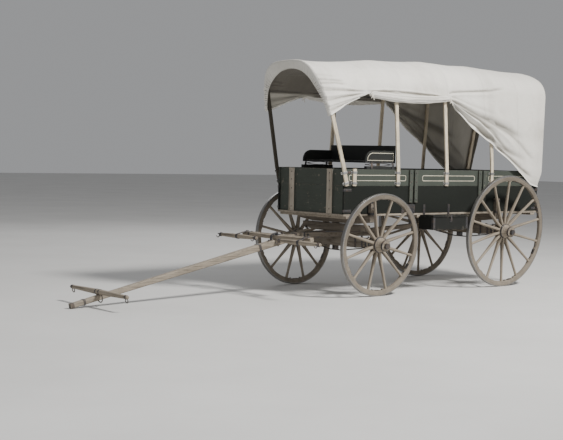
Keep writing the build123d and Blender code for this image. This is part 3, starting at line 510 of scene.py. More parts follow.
    def link(self, place, radius, wire, sides=10, count=36):
        """Ring of round bar about the place's Z."""
        rows = []
        for t in turns(count):
            around = [(radius + wire * math.cos(a), wire * math.sin(a)) for a in turns(sides)]
            rows.append([place @ Vector((*circle(r, t), z)) for r, z in around])
        self.grid(rows, closed_u=True, closed_v=True)

    def make(self, name, material, body, slot, angle=40):
        """One riding object of all that was collected."""
        piece = new_object(name, self, material)
        piece.data.shade_smooth()
        piece.data.set_sharp_from_angle(angle=math.radians(angle))
        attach(piece, body)
        return piece


def new_object(name, shape, material):
    """Object of a shape, its shells facing outwards."""
    mesh = bpy.data.meshes.new(name)
    mesh.from_pydata(shape.verts, [], shape.faces)
    layer = mesh.uv_layers.new(name="UVMap")
    layer.data.foreach_set("uv", [c for face in shape.uvs for pair in face for c in pair])
    mesh.materials.append(MATS[material])
    work = bmesh.new()
    work.from_mesh(mesh)
    bmesh.ops.recalc_face_normals(work, faces=work.faces)
    work.to_mesh(mesh)
    work.free()
    piece = bpy.data.objects.new(name, mesh)
    bpy.context.scene.collection.objects.link(piece)
    return piece


# CAD nodes keep their shape and get softened edges and a finish

def dress(names, material, bevel):
    for name in names:
        piece = nodes[name]
        piece.data.materials.clear()
        piece.data.materials.append(MATS[material])
        weld = piece.modifiers.new("weld", "WELD")
        weld.merge_threshold = 0.00002
        soft = piece.modifiers.new("soft_edges", "BEVEL")
        soft.width = bevel
        soft.segments = 2
        soft.limit_method = "ANGLE"
        soft.angle_limit = math.radians(38)
        even = piece.modifiers.new("even_normals", "WEIGHTED_NORMAL")
        even.keep_sharp = True


BOW_NODES = [name for name in nodes if name.startswith("bow_") and name != "bow_staples"]
DRESS = {
    "lower": (("lower_side_left", "lower_side_right"), 0.003),
    "upper": (("upper_side_left", "upper_side_right"), 0.003),
    "cleat": (("side_cleats", "gate_cleats"), 0.003),
    "gate": (("front_gate", "rear_gate"), 0.003),
    "floor": (("box_floor", "floor_sills"), 0.003),
    "gear": (("front_axle", "rear_axle", "front_bolster", "rear_bolster", "sand_board", "sway_bar"), 0.004),
    "gear_x": (("reach", "front_hounds", "rear_hounds"), 0.004),
    "pole": (("tongue",), 0.003),
    "tree": (("evener",), 0.004),
    "ash": ([name for name in BOW_NODES if name != "bow_front"], 0.003),
    # the front bow gets painted shade on its far leg
    "ash_far_shade": (("bow_front",), 0.003),
    "bright": (("bow_staples",), 0.0012),
    "iron": (("front_skeins", "rear_skeins", "king_pin", "tongue_pin", "evener_pin", "rub_irons",
              "tool_box_straps", "seat_springs"), 0.0012),
    "seat": (("seat", "seat_rails"), 0.003),
    "box_wood": (("tool_box", "tool_box_lid"), 0.002),
}
for finish, (names, bevel) in DRESS.items():
    dress(names, finish, bevel)


# Wheels

DISH = 0.045
TYRE_WIDTH = 0.044
TYRE_THICK = 0.012
FELLOE = 0.050
HUB_ROOT = 0.086
# share of the way out, width round the wheel, depth along the axle, squareness
SPOKE_ROWS = [
    (-0.02, 0.030, 0.054, 9), (0.03, 0.031, 0.054, 7), (0.10, 0.034, 0.050, 4.0), (0.24, 0.036, 0.043, 2.8),
    (0.42, 0.0325, 0.0385, 2.3), (0.64, 0.0285, 0.0345, 2.2), (0.84, 0.0265, 0.031, 2.2),
    (0.945, 0.0275, 0.0315, 2.4), (1.005, 0.029, 0.032, 2.6),
]
# height along the axle, radius
HUB_ROWS = [
    (-0.1295, 0.0405), (-0.1295, 0.0625), (-0.106, 0.0625), (-0.104, 0.0600), (-0.092, 0.0615),
    (-0.074, 0.0700), (-0.062, 0.0795), (-0.058, 0.0840), (-0.034, 0.0845), (-0.0325, 0.0872),
    (-0.029, 0.0880), (0.029, 0.0880), (0.0325, 0.0872), (0.034, 0.0845), (0.056, 0.0790),
    (0.060, 0.0750), (0.072, 0.0665), (0.078, 0.0655), (0.080, 0.0620), (0.098, 0.0575),
    (0.112, 0.0545), (0.114, 0.0585), (0.1395, 0.0585), (0.1395, 0.0300), (0.13, 0.0285), (-0.12, 0.0385),
]
# start, end, inside and outside radius
HUB_BANDS = [(-0.130, -0.106, 0.0610, 0.0648), (-0.058, -0.034, 0.0830, 0.0868),
             (0.034, 0.055, 0.0790, 0.0862), (0.116, 0.140, 0.0575, 0.0612)]
BAND_EDGE = 0.0012
FELLOE_STEPS = 28


def superellipse(width, depth, power):
    """Section points from square (high power) to round (2)."""
    points = []
    for t in turns(16, 0.5):
        c, s = circle(1, t)
        x = width / 2 * math.copysign(abs(c) ** (2 / power), c)
        points.append((x, depth / 2 * math.copysign(abs(s) ** (2 / power), s)))
    return points


def make_spokes(place, rim, count):
    spokes = Shape()
    for t in turns(count, 0.5):
        turned = moved(place, turn=t, axis="Z")
        sections = []
        for share, width, depth, power in SPOKE_ROWS:
            out = HUB_ROOT + (rim - HUB_ROOT) * share
            lift = DISH * out / rim
            section = superellipse(width, depth, power)
            sections.append([turned @ Vector((out, a, lift + b)) for a, b in section])
        spokes.loft(sections)
    return spokes


def make_felloes(place, radius, rim, count):
    """Felloes with their inner corners cut back between the spokes."""
    felloes = Shape()
    w = TYRE_WIDTH / 2 - 0.0008
    outer = radius - TYRE_THICK - 0.0003
    for i in range(count):
        sections = []
        for k in range(FELLOE_STEPS + 1):
            share = k / FELLOE_STEPS
            turn = (i - 0.5 + share) * math.tau / count
            if k in (0, FELLOE_STEPS):
                turn += math.copysign(0.0004 / rim, 0.5 - share)
            near_spoke = min(abs(share - 0.25), abs(share - 0.75), share, 1 - share)
            cut = 0.011 * clamp((near_spoke - 0.045) / 0.05) + 0.0025
            half = [(outer, w), (rim + cut, w), (rim + cut * 0.30, w - cut * 0.30), (rim, w - cut)]
            outline = [(outer, -w)] + half + [(r, -z) for r, z in half[:0:-1]]
            sections.append([place @ Vector((*circle(r, turn), DISH + z)) for r, z in outline])
        felloes.loft(sections)
    return felloes


def make_rim_irons(place, rim, count):
    """Tyre bolts with nuts under the felloes, and clips over their joints."""
    irons = Shape()
    for i in range(count):
        for share in (-0.36, 0.36):
            turned = moved(place, turn=(i + share) * math.tau / count, axis="Z")
            nut = moved(turned, rim, 0, DISH, -QUARTER, "Y")
            irons.bolt(nut, 0.008, 0.008, square=True, washer=True)
        clip = moved(moved(place, turn=(i - 0.5) * math.tau / count, axis="Z"), rim, 0, DISH)
        irons.block((-0.0035, -0.030, -0.019), (-0.0002, 0.030, 0.019), clip, 0.001)
        for step in (-0.019, 0.019):
            irons.bolt(moved(clip, -0.0035, step, 0, -QUARTER, "Y"), 0.0055, 0.004)
    return irons


def make_tyre(place, radius):
    half = TYRE_WIDTH / 2
    inner = radius - TYRE_THICK
    edge = [(-half, inner), (-half, radius - 0.004), (0.0018 - half, radius - 0.0012), (0.006 - half, radius)]
    tread = [(DISH + z, r) for z, r in edge + [(-z, r) for z, r in reversed(edge)]]
    tyre = Shape()
    tyre.lathe(place, tread, 144, closed=True)
    return tyre


def make_wheel(name, spoke_count):
    """Spokes, felloes, tyre and hub of one wheel with their irons."""
    joint = joints["wheel_" + name + "_spin"]
    place = frame_from(joint["pos_m"], joint["axis"])
    body = "wheel_" + name
    low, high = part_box(body + "_tyre")
    radius = (high.x - low.x) / 2
    rim = radius - TYRE_THICK - FELLOE
    count = spoke_count // 2
    spokes = make_spokes(place, rim, spoke_count)
    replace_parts(spokes.make("spokes_" + name, "wheel", body, "wheel_wood", 50), body + "_spokes")
    felloes = make_felloes(place, radius, rim, count)
    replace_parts(felloes.make("felloes_" + name, "felloe", body, "wheel_wood", 35), body + "_felloes")
    make_rim_irons(place, rim, count).make("rim_irons_" + name, "iron", body, "iron")
    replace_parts(make_tyre(place, radius).make("tyre_" + name, "tyre", body, "iron", 35), body + "_tyre")
    hub = Shape()
    hub.lathe(place, HUB_ROWS, 48, closed=True)
    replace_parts(hub.make("hub_" + name, "wheel", body, "wheel_wood", 28), body + "_hub")
    bands = Shape()
    for start, end, inside, outside in HUB_BANDS:
        outline = [
            (start, inside), (start, outside - BAND_EDGE), (start + BAND_EDGE, outside),
            (end - BAND_EDGE, outside), (end, outside - BAND_EDGE), (end, inside),
        ]
        bands.lathe(place, outline, 48, closed=True)
    bands.make("hub_bands_" + name, "iron", body, "iron", 30)


for wheel in WHEELS:
    make_wheel(wheel, 14 if wheel.startswith("rear") else 12)


# Canvas top: the same bows as the CAD, with the cloth's own sags and folds

BOW_WIDTH = 0.045
BOW_OUT = HALF_OUT + 0.0193
KNEE_Z = BOX_TOP + 0.012
CROWN_R = 0.75
HAUNCH_R = 0.30
HAUNCH_Y = 0.215
FLARE = 0.012
GROW = 0.0018
FRONT_OVER, REAR_OVER = 0.060, 0.056
REAR_LIP = 0.060
CLOTH_THICK = 0.0022
# distance from the crown (near side negative), rise of the front edge off the taut line, depth of its lip
FRONT_EDGE = [
    (-1.00, 0.026, 0.012), (-0.85, 0.024, 0.026), (-0.75, 0.014, 0.050), (-0.65, 0.001, 0.095),
    (-0.55, -0.008, 0.112), (-0.45, 0.004, 0.110), (-0.35, 0.036, 0.090), (-0.25, 0.050, 0.068),
    (-0.15, 0.041, 0.061), (-0.05, 0.031, 0.064), (0.05, 0.030, 0.071), (0.15, 0.038, 0.079),
    (0.25, 0.047, 0.091), (0.35, 0.037, 0.106), (0.45, 0.009, 0.113), (0.55, -0.018, 0.109),
    (0.65, -0.022, 0.092), (0.75, -0.014, 0.060), (0.85, -0.006, 0.036), (1.00, 0.0, 0.018),
]
# station, lean in degrees, height of the crown; the second bow is taken out and has only its feet left
BOWS = [
    (0.030, -14.0, 2.515), (0.7891, 0.0, 2.598), (1.5661, 0.0, 2.630), (2.342, 0.0, 2.626),
    (3.150, 8.0, 2.600),
]
FEET = [(station, lean) for station, lean, crown in BOWS] + [(0.138, 0.0)]
FRONT_TIE, BACK_TIE = (0.369, 2.190), (1.600, 2.184)
BACK_HEM = [
    (0.45, 2.178), (1.54, 2.172), BACK_TIE, (1.72, 2.088), (1.995, 1.866), (2.352, 1.665), (2.688, 1.430),
    (3.033, 1.205), (3.167, 1.176), (3.90, 1.170),
]
# station and height of the canvas's lower edge: the near side hangs lower in front
HEM = {
    -1: [(-0.70, 1.800), (-0.224, 1.926), (-0.054, 2.011), (0.080, 2.078), (0.217, 2.132),
         FRONT_TIE] + BACK_HEM,
    1: [(-0.70, 1.900), (-0.140, 2.011), (0.105, 2.107), (0.217, 2.146), FRONT_TIE] + BACK_HEM,
}
# folds that fan out from the ties: height, width at the start and at the end, (station, height) points
FOLDS = [
    (0.017, 0.014, 0.034, [(1.64, 2.165), (1.684, 2.138), (1.944, 2.0), (2.115, 1.919), (2.289, 1.798),
                           (2.49, 1.599), (2.66, 1.462), (2.90, 1.306), (3.1, 1.21)]),
    (-0.016, 0.009, 0.018, [(1.66, 2.135), (1.94, 1.950), (2.115, 1.868), (2.289, 1.757),
                            (2.45, 1.628), (2.60, 1.515)]),
    (-0.014, 0.009, 0.021, [(1.66, 2.165), (1.80, 2.090), (1.95, 2.035), (2.1, 1.975), (2.3, 1.86),
                            (2.5, 1.70), (2.7, 1.54)]),
    (0.010, 0.013, 0.045, [(1.68, 2.165), (2.0, 2.045), (2.3, 1.925), (2.6, 1.75), (2.9, 1.55)]),
    (-0.018, 0.011, 0.046, [(1.64, 2.180), (1.83, 2.112), (2.13, 2.000), (2.418, 1.920),
                            (2.713, 1.835), (2.95, 1.765)]),
    (0.009, 0.014, 0.070, [(1.66, 2.195), (2.0, 2.105), (2.4, 2.01), (2.8, 1.93)]),
    (-0.006, 0.012, 0.035, [(1.65, 2.213), (1.717, 2.201), (2.05, 2.118), (2.24, 2.075), (2.5, 2.03)]),
    (-0.012, 0.010, 0.013, [(1.62, 2.250), (1.686, 2.266), (1.95, 2.288), (2.236, 2.308),
                            (2.463, 2.338), (2.62, 2.36)]),
    (0.005, 0.014, 0.03, [(1.62, 2.232), (1.9, 2.25), (2.25, 2.265), (2.5, 2.28)]),
    (-0.014, 0.014, 0.034, [(2.05, 1.875), (2.28, 1.755), (2.515, 1.643), (2.977, 1.49)]),
    (0.008, 0.016, 0.035, [(2.25, 1.74), (2.60, 1.565), (2.95, 1.425)]),
    (-0.012, 0.011, 0.020, [(2.36, 1.665), (2.557, 1.560), (2.902, 1.372), (3.08, 1.28)]),
    (-0.007, 0.016, 0.03, [(2.55, 1.90), (2.85, 1.70), (3.15, 1.46)]),
    (-0.010, 0.011, 0.009, [(-0.36, 2.312), (-0.109, 2.313), (0.02, 2.305)]),
    (-0.010, 0.011, 0.009, [(-0.35, 2.268), (-0.095, 2.283), (0.06, 2.272)]),
    (-0.009, 0.012, 0.008, [(-0.33, 2.197), (0.0, 2.204), (0.261, 2.211), (0.34, 2.206)]),
    (0.006, 0.012, 0.008, [(-0.33, 2.232), (0.0, 2.236), (0.25, 2.222)]),
    (-0.010, 0.012, 0.008, [(-0.30, 2.078), (-0.1, 2.115), (0.083, 2.151), (0.31, 2.189)]),
    (0.007, 0.012, 0.007, [(-0.30, 2.125), (-0.05, 2.158), (0.2, 2.188), (0.33, 2.20)]),
    (-0.010, 0.012, 0.007, [(-0.25, 1.972), (0.017, 2.057), (0.2, 2.125), (0.33, 2.178)]),
    (0.007, 0.012, 0.006, [(-0.28, 2.020), (-0.05, 2.084), (0.15, 2.138), (0.33, 2.184)]),
    (-0.004, 0.012, 0.010, [(-0.38, 2.36), (-0.2, 2.362), (-0.05, 2.345)]),
    (-0.008, 0.012, 0.012, [(0.39, 2.206), (0.60, 2.223), (1.0, 2.222), (1.408, 2.208), (1.57, 2.195)]),
    (0.006, 0.012, 0.012, [(0.40, 2.228), (0.60, 2.245), (1.0, 2.246), (1.408, 2.230), (1.57, 2.207)]),
]
FOLD_REACH = 0.12
SEAMS = (0.372, 0.985, 1.597, 2.215, 2.830)


class Arch:
    """Outline of one bow, walked by the distance from its crown."""

    def __init__(self, station, lean, crown, grow):
        self.station = station
        self.lean = math.radians(lean)
        self.mid = SIDE_TOP + (crown - SIDE_TOP) / math.cos(self.lean) - CROWN_R
        self.hz = self.mid + math.sqrt((CROWN_R - HAUNCH_R) ** 2 - HAUNCH_Y ** 2)
        foot = BOW_OUT + FLARE
        away = math.hypot(foot - HAUNCH_Y, KNEE_Z - self.hz)
        bearing = math.atan2(KNEE_Z - self.hz, foot - HAUNCH_Y)
        self.low_turn = bearing + math.acos(HAUNCH_R / away)
        self.top_turn = math.atan2(self.hz - self.mid, HAUNCH_Y)
        self.big = CROWN_R + grow
        self.small = HAUNCH_R + grow
        self.knee = (foot + grow, KNEE_Z + grow * math.tan(self.low_turn / 2))
        self.d1 = self.big * (QUARTER - self.top_turn)
        self.d2 = self.d1 + self.small * (self.top_turn - self.low_turn)
        self.low = (HAUNCH_Y + self.small * math.cos(self.low_turn),
                    self.hz + self.small * math.sin(self.low_turn))
        self.d3 = self.d2 + math.dist(self.knee, self.low)

    def local(self, q):
        """Offset and height at a distance from the crown."""
        d = abs(q)
        if d < self.d1:
            y, z = circle(self.big, QUARTER - d / self.big)
            z += self.mid
        elif d < self.d2:
            y, z = circle(self.small, self.top_turn - (d - self.d1) / self.small)
            y, z = HAUNCH_Y + y, self.hz + z
        elif d < self.d3:
            share = (d - self.d2) / (self.d3 - self.d2)
            y, z = (a + (b - a) * share for a, b in zip(self.low, self.knee))
        else:
            y, z = self.knee[0], self.knee[1] - (d - self.d3)
        return math.copysign(y, q), z

    def point(self, q, along=0.0, inward=0.0):
        """Row-frame point on the outline, moved along the wagon and in from the outline."""
        y, z = self.local(q)
        if inward:
            y2, z2 = self.local(q + 0.004)
            y1, z1 = self.local(q - 0.004)
            length = math.hypot(y2 - y1, z2 - z1)
            y, z = y + (z2 - z1) / length * inward, z - (y2 - y1) / length * inward
        c, s = math.cos(self.lean), math.sin(self.lean)
        rise = z - SIDE_TOP
        return at(self.station + along * c + rise * s, y, SIDE_TOP + rise * c - along * s)


ARCHES = [Arch(*row, GROW) for row in BOWS]
FIRST, LAST = BOWS[0][0] - FRONT_OVER, BOWS[-1][0] + REAR_OVER


def hem_height(station, side):
    """Height of the canvas's lower edge at a station."""
    line = HEM[side]
    for (x0, z0), (x1, z1) in zip(line, line[1:]):
        if station <= x1:
            return z0 + (z1 - z0) * (station - x0) / (x1 - x0)
    return line[-1][1]


def blend_arch(u):
    """The two bows a station lies between, and the share of the second one."""
    if u <= BOWS[0][0]:
        return 0, 0, 0.0
    for k in range(len(BOWS) - 1):
        if u <= BOWS[k + 1][0]:
            return k, k + 1, (u - BOWS[k][0]) / (BOWS[k + 1][0] - BOWS[k][0])
    return len(BOWS) - 1, len(BOWS) - 1, 0.0


def cover_base(u, q):
    """Point of the taut cloth over the bows."""
    a, b, share = blend_arch(u)
    if a == b:
        return ARCHES[a].point(q, u - BOWS[a][0])
    return ARCHES[a].point(q) * (1 - share) + ARCHES[b].point(q) * share


def hem_distance(u, side):
    """Distance from the crown at which the cloth ends."""
    low, high = 0.5, 2.1
    for _ in range(26):
        middle = (low + high) / 2
        p = cover_base(u, middle * side)
        if p.z > hem_height(p.x - FRONT, side):
            low = middle
        else:
            high = middle
    return low


def through(rows, value, column):
    """Smooth curve through a table's rows."""
    last = len(rows) - 1
    k = 0
    while k < last - 1 and value > rows[k + 1][0]:
        k += 1
    (x0, y0), (x1, y1) = ((rows[j][0], rows[j][column]) for j in (k, k + 1))
    before, after = rows[max(k - 1, 0)], rows[min(k + 2, last)]
    t = clamp((value - x0) / (x1 - x0))
    m0 = (y1 - before[column]) / (x1 - before[0]) * (x1 - x0)
    m1 = (after[column] - y0) / (after[0] - x0) * (x1 - x0)
    a = (2 * t ** 3 - 3 * t ** 2 + 1) * y0 + (t ** 3 - 2 * t ** 2 + t) * m0
    return a + (3 * t ** 2 - 2 * t ** 3) * y1 + (t ** 3 - t ** 2) * m1


def front_rise(u, q):
    """How far the cloth stands off the front bow's line as it nears its drawn edge."""
    if u > 0.30:
        return 0.0
    rise = through(FRONT_EDGE, q, 1)
    if rise < 0:
        return rise * smooth(0.004, FIRST, u)
    return rise * (0.42 * smooth(0.30, 0.03, u) + 0.58 * smooth(0.045, FIRST, u))


def between_bows(u):
    """(0 on a bow and 1 midway, length of the span)."""
    a, b, share = blend_arch(u)
    if a == b:
        return 0.0, 0.1
    span = BOWS[b][0] - BOWS[a][0]
    edge = BOW_WIDTH / 2 / span
    return math.sin(math.pi * clamp((share - edge) / (1 - 2 * edge))), span


def end_station(u, edge):
    """Station of a column, drawn in near the hem behind the last bow."""
    if u <= BOWS[-1][0]:
        return u
    return BOWS[-1][0] + (u - BOWS[-1][0]) * (1 - 0.85 * smooth(0.20, 0.0, edge))


def fold_at(x, z):
    """Height of the measured folds at a place on the side: ridges, valleys."""
    ridge = valley = 0.0
    for height, start, end, points in FOLDS:
        if not points[0][0] - FOLD_REACH < x < points[-1][0] + FOLD_REACH:
            continue
        nearest = []
        for k, ((x0, z0), (x1, z1)) in enumerate(zip(points, points[1:])):
            dx, dz = x1 - x0, z1 - z0
            inside = clamp(((x - x0) * dx + (z - z0) * dz) / (dx * dx + dz * dz))
            away = math.hypot(x - x0 - dx * inside, z - z0 - dz * inside)
            nearest.append((away, (k + inside) / (len(points) - 1)))
        away, along = min(nearest)
        width = start + (end - start) * along
        fade = smooth(0.0, 0.10, along + 0.02) * smooth(1.02, 0.72, along)
        rise = 1.8 * height * fade * math.exp(-(away / width) ** 1.7)
        ridge += max(rise, 0.0)
        valley -= min(rise, 0.0)
    return ridge, valley


def drape(u, q, p):
    """How far the cloth lies off the taut line there, outwards, in metres, and how deep in a crease."""
    side = -1 if q < 0 else 1
    t, span = between_bows(u)
    free = smooth(0.0, 0.35, t)
    x, height = p.x - FRONT, p.z
    low_side = smooth(2.35, 2.05, height)
    crown = 1 - smooth(0.25, 0.75, abs(q))
    off = -t * min(1.0, span / 0.7) * (0.010 * crown + 0.011 * (1 - crown))
    off += free * wobble(x * 4.0, q * 1.1 * side, side * 4.0, 1) * (0.004 + 0.004 * low_side)
    off += free * wobble(x * 11.0 + q * 3.0, q * 4.0, side * 7.0, 2) * 0.0030 * (0.35 + low_side)
    off += free * wobble(x * 2.2 + 3, q * 6.5, side * 2.0, 5) * 0.0030
    valley = 0.0
    if abs(q) > 0.45:
        ridge, valley = fold_at(x + (0.0 if side < 0 else 0.03 * wobble(height * 3, 0, 0, 8)), height)
        above = height - hem_height(x, side)
        fan = smooth(1.62, 1.85, x) * smooth(3.10, 2.85, x) * smooth(0.60, 0.25, above) * 0.011
        fan += smooth(0.37, 0.25, x) * smooth(-0.45, -0.25, x) * smooth(0.42, 0.20, above) * 0.006
        off += fan + ridge - valley
    return max(off, -0.0005 - 0.03 * free) + front_rise(u, q), valley


def cover_stations():
    """Stations of the cloth's columns, closer together where it is folded most."""
    stations = [FIRST]
    while stations[-1] < LAST:
        u = stations[-1]
        step = 0.0125 if u < 0.46 or 1.48 < u < 2.35 else (0.028 if u < 1.48 else 0.0175)
        stations.append(min(LAST, u + step))
    return stations


def outward(u, q):
    """Way out of the cloth."""
    step = 0.01
    along = cover_base(min(u + step, LAST), q) - cover_base(max(u - step, FIRST), q)
    out = along.cross(cover_base(u, q + step) - cover_base(u, q - step)).normalized()
    flat = abs(q) < 0.3
    if (flat and out.z < 0) or (not flat and out.y * q < 0):
        out = -out
    return out


def cover_point(u, q):
    """Point of the draped cloth, and how deep in a crease it is."""
    base = cover_base(u, q)
    off, crease = drape(u, q, base)
    return base + outward(u, q) * off, crease


def mark_points(mesh, name, values):
    """Keeps one number per point on the mesh, between 0 and 1."""
    mark = mesh.attributes.new(name, "FLOAT", "POINT")
    mark.data.foreach_set("value", [clamp(value) for value in values])


def inside_shade_at(p):
    """How much painted shade darkens the inside: less on the front flaps below the ties."""
    x = p.x - FRONT
    flap = 0.85 * smooth(2.215, 2.190, p.z) * smooth(0.50, 0.40, x)
    return 1.0 - flap - 0.74 * smooth(2.32, 2.14, p.z) * smooth(1.50, 1.75, x)


def cloth_piece(name, cells):
    """Sheet whose inner face is darker as painted shade, from rows of (point, stain and shade mark, uv)."""
    shape = Shape()
    shape.grid([[p for p, stain_and_shade, uv in row] for row in cells], uv=lambda i, j: cells[i][j][2])
    piece = new_object(name, shape, "canvas")
    mesh = piece.data
    mesh.materials.append(MATS["inside"])
    mark_points(mesh, "stain_and_shade", [stain_and_shade for row in cells for p, stain_and_shade, uv in row])
    # painted shade on the inside, lighter on the front flaps below the ties
    mark_points(mesh, "inside_shade", [inside_shade_at(p) for row in cells for p, stain_and_shade, uv in row])
    mesh.shade_smooth()
    thick = piece.modifiers.new("thickness", "SOLIDIFY")
    thick.thickness = CLOTH_THICK
    thick.offset = 0.0
    thick.material_offset = 1
    thick.material_offset_rim = 0
    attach(piece, "wagon")
    return piece


def make_cover():
    """The sheet over the bows, from hem to hem."""
    near, far = 156, 80
    shares = [j / near for j in range(-near, 0)] + [j / far for j in range(far + 1)]
    cells = []
    for u in cover_stations():
        ends = {side: hem_distance(u, side) for side in BOTH}
        on_bow = smooth(0.35, 0.0, between_bows(u)[0])
        row = []
        for s in shares:
            end = ends[-1 if s < 0 else 1]
            q = math.copysign(abs(s) ** 0.72, s) * end
            edge = end - abs(q)
            p, crease = cover_point(end_station(u, edge), q)
            x = p.x - FRONT
            # stained along the hem, on the bows and at the seams; painted shade in the creases; darker
            # towards the rear
            dirt_and_shade = 0.30 * smooth(0.20, 0.0, edge) * (0.5 + wobble(u * 3, q * 3, 0, 11))
            dirt_and_shade += 0.16 * on_bow * (0.6 + wobble(u * 4, q * 5, 1, 12))
            dirt_and_shade += max(0.16 * smooth(0.013, 0.004, abs(x - seam)) for seam in SEAMS) + 34.0 * crease
            dirt_and_shade += 0.30 * smooth(1.50, 2.7, u)
            row.append((p, dirt_and_shade, (u, q)))
        cells.append(row)
    return cloth_piece("cover_canvas", cells)


def make_lip(name, arch, over, way, edge_depth):
    """Edge drawn in over the face of an end bow by its drawstring, finely gathered at the haunches.

    edge_depth gives the depth at a distance from the crown.
    """
    steps = 18
    pitch = 0.0042
    end = arch.station + way * over
    reach = {side: hem_distance(end, side) for side in BOTH}
    count = int((reach[-1] + reach[1]) / pitch)
    cells = []
    for i in range(steps + 1):
        share = i / steps
        grows = smooth(0.12, 0.70, share)
        row = []
        for j in range(count + 1):
            q = -reach[-1] + (reach[-1] + reach[1]) * j / count
            first = end_station(end, reach[-1 if q < 0 else 1] - abs(q))
            rise = drape(first, q, cover_base(first, q))[0]
            depth = (edge_depth(q) + rise) * share
            haunch = math.exp(-((abs(q) - 0.59) / 0.21) ** 2)
            wave = math.sin(q * 262 + 7.0 * wobble(q * 7.0, 0, way, 3)) + 0.5 * math.sin(q * 137 + 4 * way)
            gather = wave * (0.0002 + 0.0056 * haunch) * grows * (1 - 0.45 * smooth(0.85, 1.0, share))
            swell = 0.010 * wobble(q * 2.4, share * 0.6, way, 4) * share
            curl = -0.010 * smooth(0.72, 1.0, share)
            turned = 0.012 * math.sin(QUARTER * min(1.0, depth / 0.022))
            along = first - arch.station + way * (turned + gather + swell + curl - 0.001)
            inward = depth - rise + 0.003 * wobble(q * 9.0, share, way, 6) * share
            # painted shade in the gathers' valleys; the whole lip darkened partly as dirt and partly as
            # painted shade, more at its drawn edge
            gather_shade = haunch * grows * smooth(-0.1, -0.9, wave)
            stain_and_shade = 0.20 + 0.12 * smooth(0.75, 1.0, share) + 1.2 * gather_shade
            row.append((arch.point(q, along, inward), stain_and_shade, (depth, q)))
        cells.append(row)
    return cloth_piece(name, cells)


def make_roll(side, name):
    """Rolled hem: loose folds with creases, sagging between the ties."""
    rows, dirt_and_shade = [], []
    count = 110
    start, end = FRONT_TIE[0] - 0.016, BACK_TIE[0] + 0.014
    for i in range(count + 1):
        share = i / count
        x = start + (end - start) * share
        hang = math.sin(math.pi * share) ** 1.2
        tie = math.exp(-(share / 0.035) ** 2) + math.exp(-((1 - share) / 0.035) ** 2)
        squeeze = 1 - 0.55 * min(1.0, tie)
        height = 2.183 - 0.026 * hang + 0.003 * wobble(x * 3, side, 0, 21)
        middle = at(x, side * (0.5545 + 0.002 * hang), height)
        bend = 0.22 * wobble(x * 3.0, 1, side, 24)
        row = []
        for turn in turns(44):
            c, s = circle(1, turn)
            crease = 0.0040 * math.sin(2 * turn + 1.2 * x + side) + 0.0028 * math.sin(5 * turn - 3.0 * x)
            crease += 0.0060 * wobble(x * 6.0, c * 1.5, s * 1.5, 22)
            deep = math.exp(-((turn - 0.50 - bend) / 0.13) ** 2)
            deep += math.exp(-((turn - 5.85 + bend) / 0.12) ** 2)
            deep += 0.6 * math.exp(-((turn - 6.20 - bend) / 0.08) ** 2)
            groove = -0.0085 * deep
            # painted shade in the roll's deep creases, with some dirt spread unevenly
            dirt_and_shade.append(0.08 + 0.45 * deep + 0.15 * wobble(x * 4, turn, side, 23))
            a = (0.0250 + crease * 0.5 + groove) * squeeze
            b = (0.0330 + 0.010 * hang + crease + groove) * squeeze
            row.append(middle + Vector((0, side * a * c, b * s)))
        rows.append(row)
    shape = Shape()
    shape.loft(rows)
    piece = shape.make("cover_roll_" + name, "canvas", "wagon", "canvas", 70)
    mark_points(piece.data, "stain_and_shade", dirt_and_shade)
    return piece


def make_hem(side, name):
    """Doubled edge of the cloth beyond the ties."""
    inset = 0.006
    shape = Shape()
    for start, end in ((FIRST + 0.004, FRONT_TIE[0]), (BACK_TIE[0], LAST - 0.002)):
        count = int((end - start) / 0.02)
        points, faces = [], []
        for i in range(count + 1):
            u = start + (end - start) * i / count
            q = side * (hem_distance(u, side) - inset)
            v = end_station(u, inset)
            points.append(cover_point(v, q)[0])
            faces.append(outward(v, q))
        shape.bar(points, 0.016, 0.008, up=faces)
    return shape.make("cover_hem_" + name, "hem", "wagon", "canvas", 60)


def make_tie(side, name):
    """Cotton tapes that hold a roll up: a loop, a knot and two tails each."""
    shape = Shape()
    rng = random.Random(name)
    for x, z in (FRONT_TIE, BACK_TIE):
        middle = at(x, side * 0.5535, z - 0.006)
        knot = middle + Vector((0, side * 0.021, -0.012))
        drop = Vector((0, 0, 0.012))
        loop, bead = [], []
        for t in turns(24) + [math.tau]:
            c, s = circle(1, t)
            loop.append(middle + Vector((0.006 * s, side * 0.0175 * c, 0.0235 * s)))
        for t in turns(16) + [math.tau]:
            c, s = circle(1, t)
            bead.append(knot + Vector((0.011 * c, side * 0.003 * s, 0.010 * s)))
        shape.tube(loop, 0.0032, 8, cap=False)
        shape.tube(bead, 0.0048, 8, cap=False)
        shape.tube([knot + drop, knot + Vector((0, side * 0.007, 0)), knot - drop], 0.0050, 8)
        for way, length in ((-1, 0.034), (1, 0.052)):
            tail = []
            for k in range(8):
                t = k / 7
                across = way * (0.005 + 0.014 * t) + 0.004 * rng.uniform(-1, 1) * t
                tail.append(knot + Vector((across, side * (0.006 + 0.006 * math.sin(3 * t)), -length * t)))
            shape.bar(tail, 0.009, 0.0016, up=(0, side, 0.01))
    return shape.make("cover_ties_" + name, "tape", "wagon", "canvas", 60)


cover = make_cover()
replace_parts(cover, "cover")
front_lip = make_lip("cover_lip_front", ARCHES[0], FRONT_OVER, -1, lambda q: through(FRONT_EDGE, q, 2))
rear_lip = make_lip("cover_lip_rear", ARCHES[-1], REAR_OVER, 1,
                    lambda q: REAR_LIP * (1 - 0.4 * smooth(1.0, 1.6, abs(q))))
rolls = [make_roll(side, name) for side, name in SIDES]
hems = [make_hem(side, name) for side, name in SIDES]
ties = [make_tie(side, name) for side, name in SIDES]


# Painted lines, as thin proud strips

PANELS = ((0.069, 0.92), (1.185, 2.05), (2.30, 3.10))
PANEL_LOW, PANEL_HIGH = 1.248, 1.306


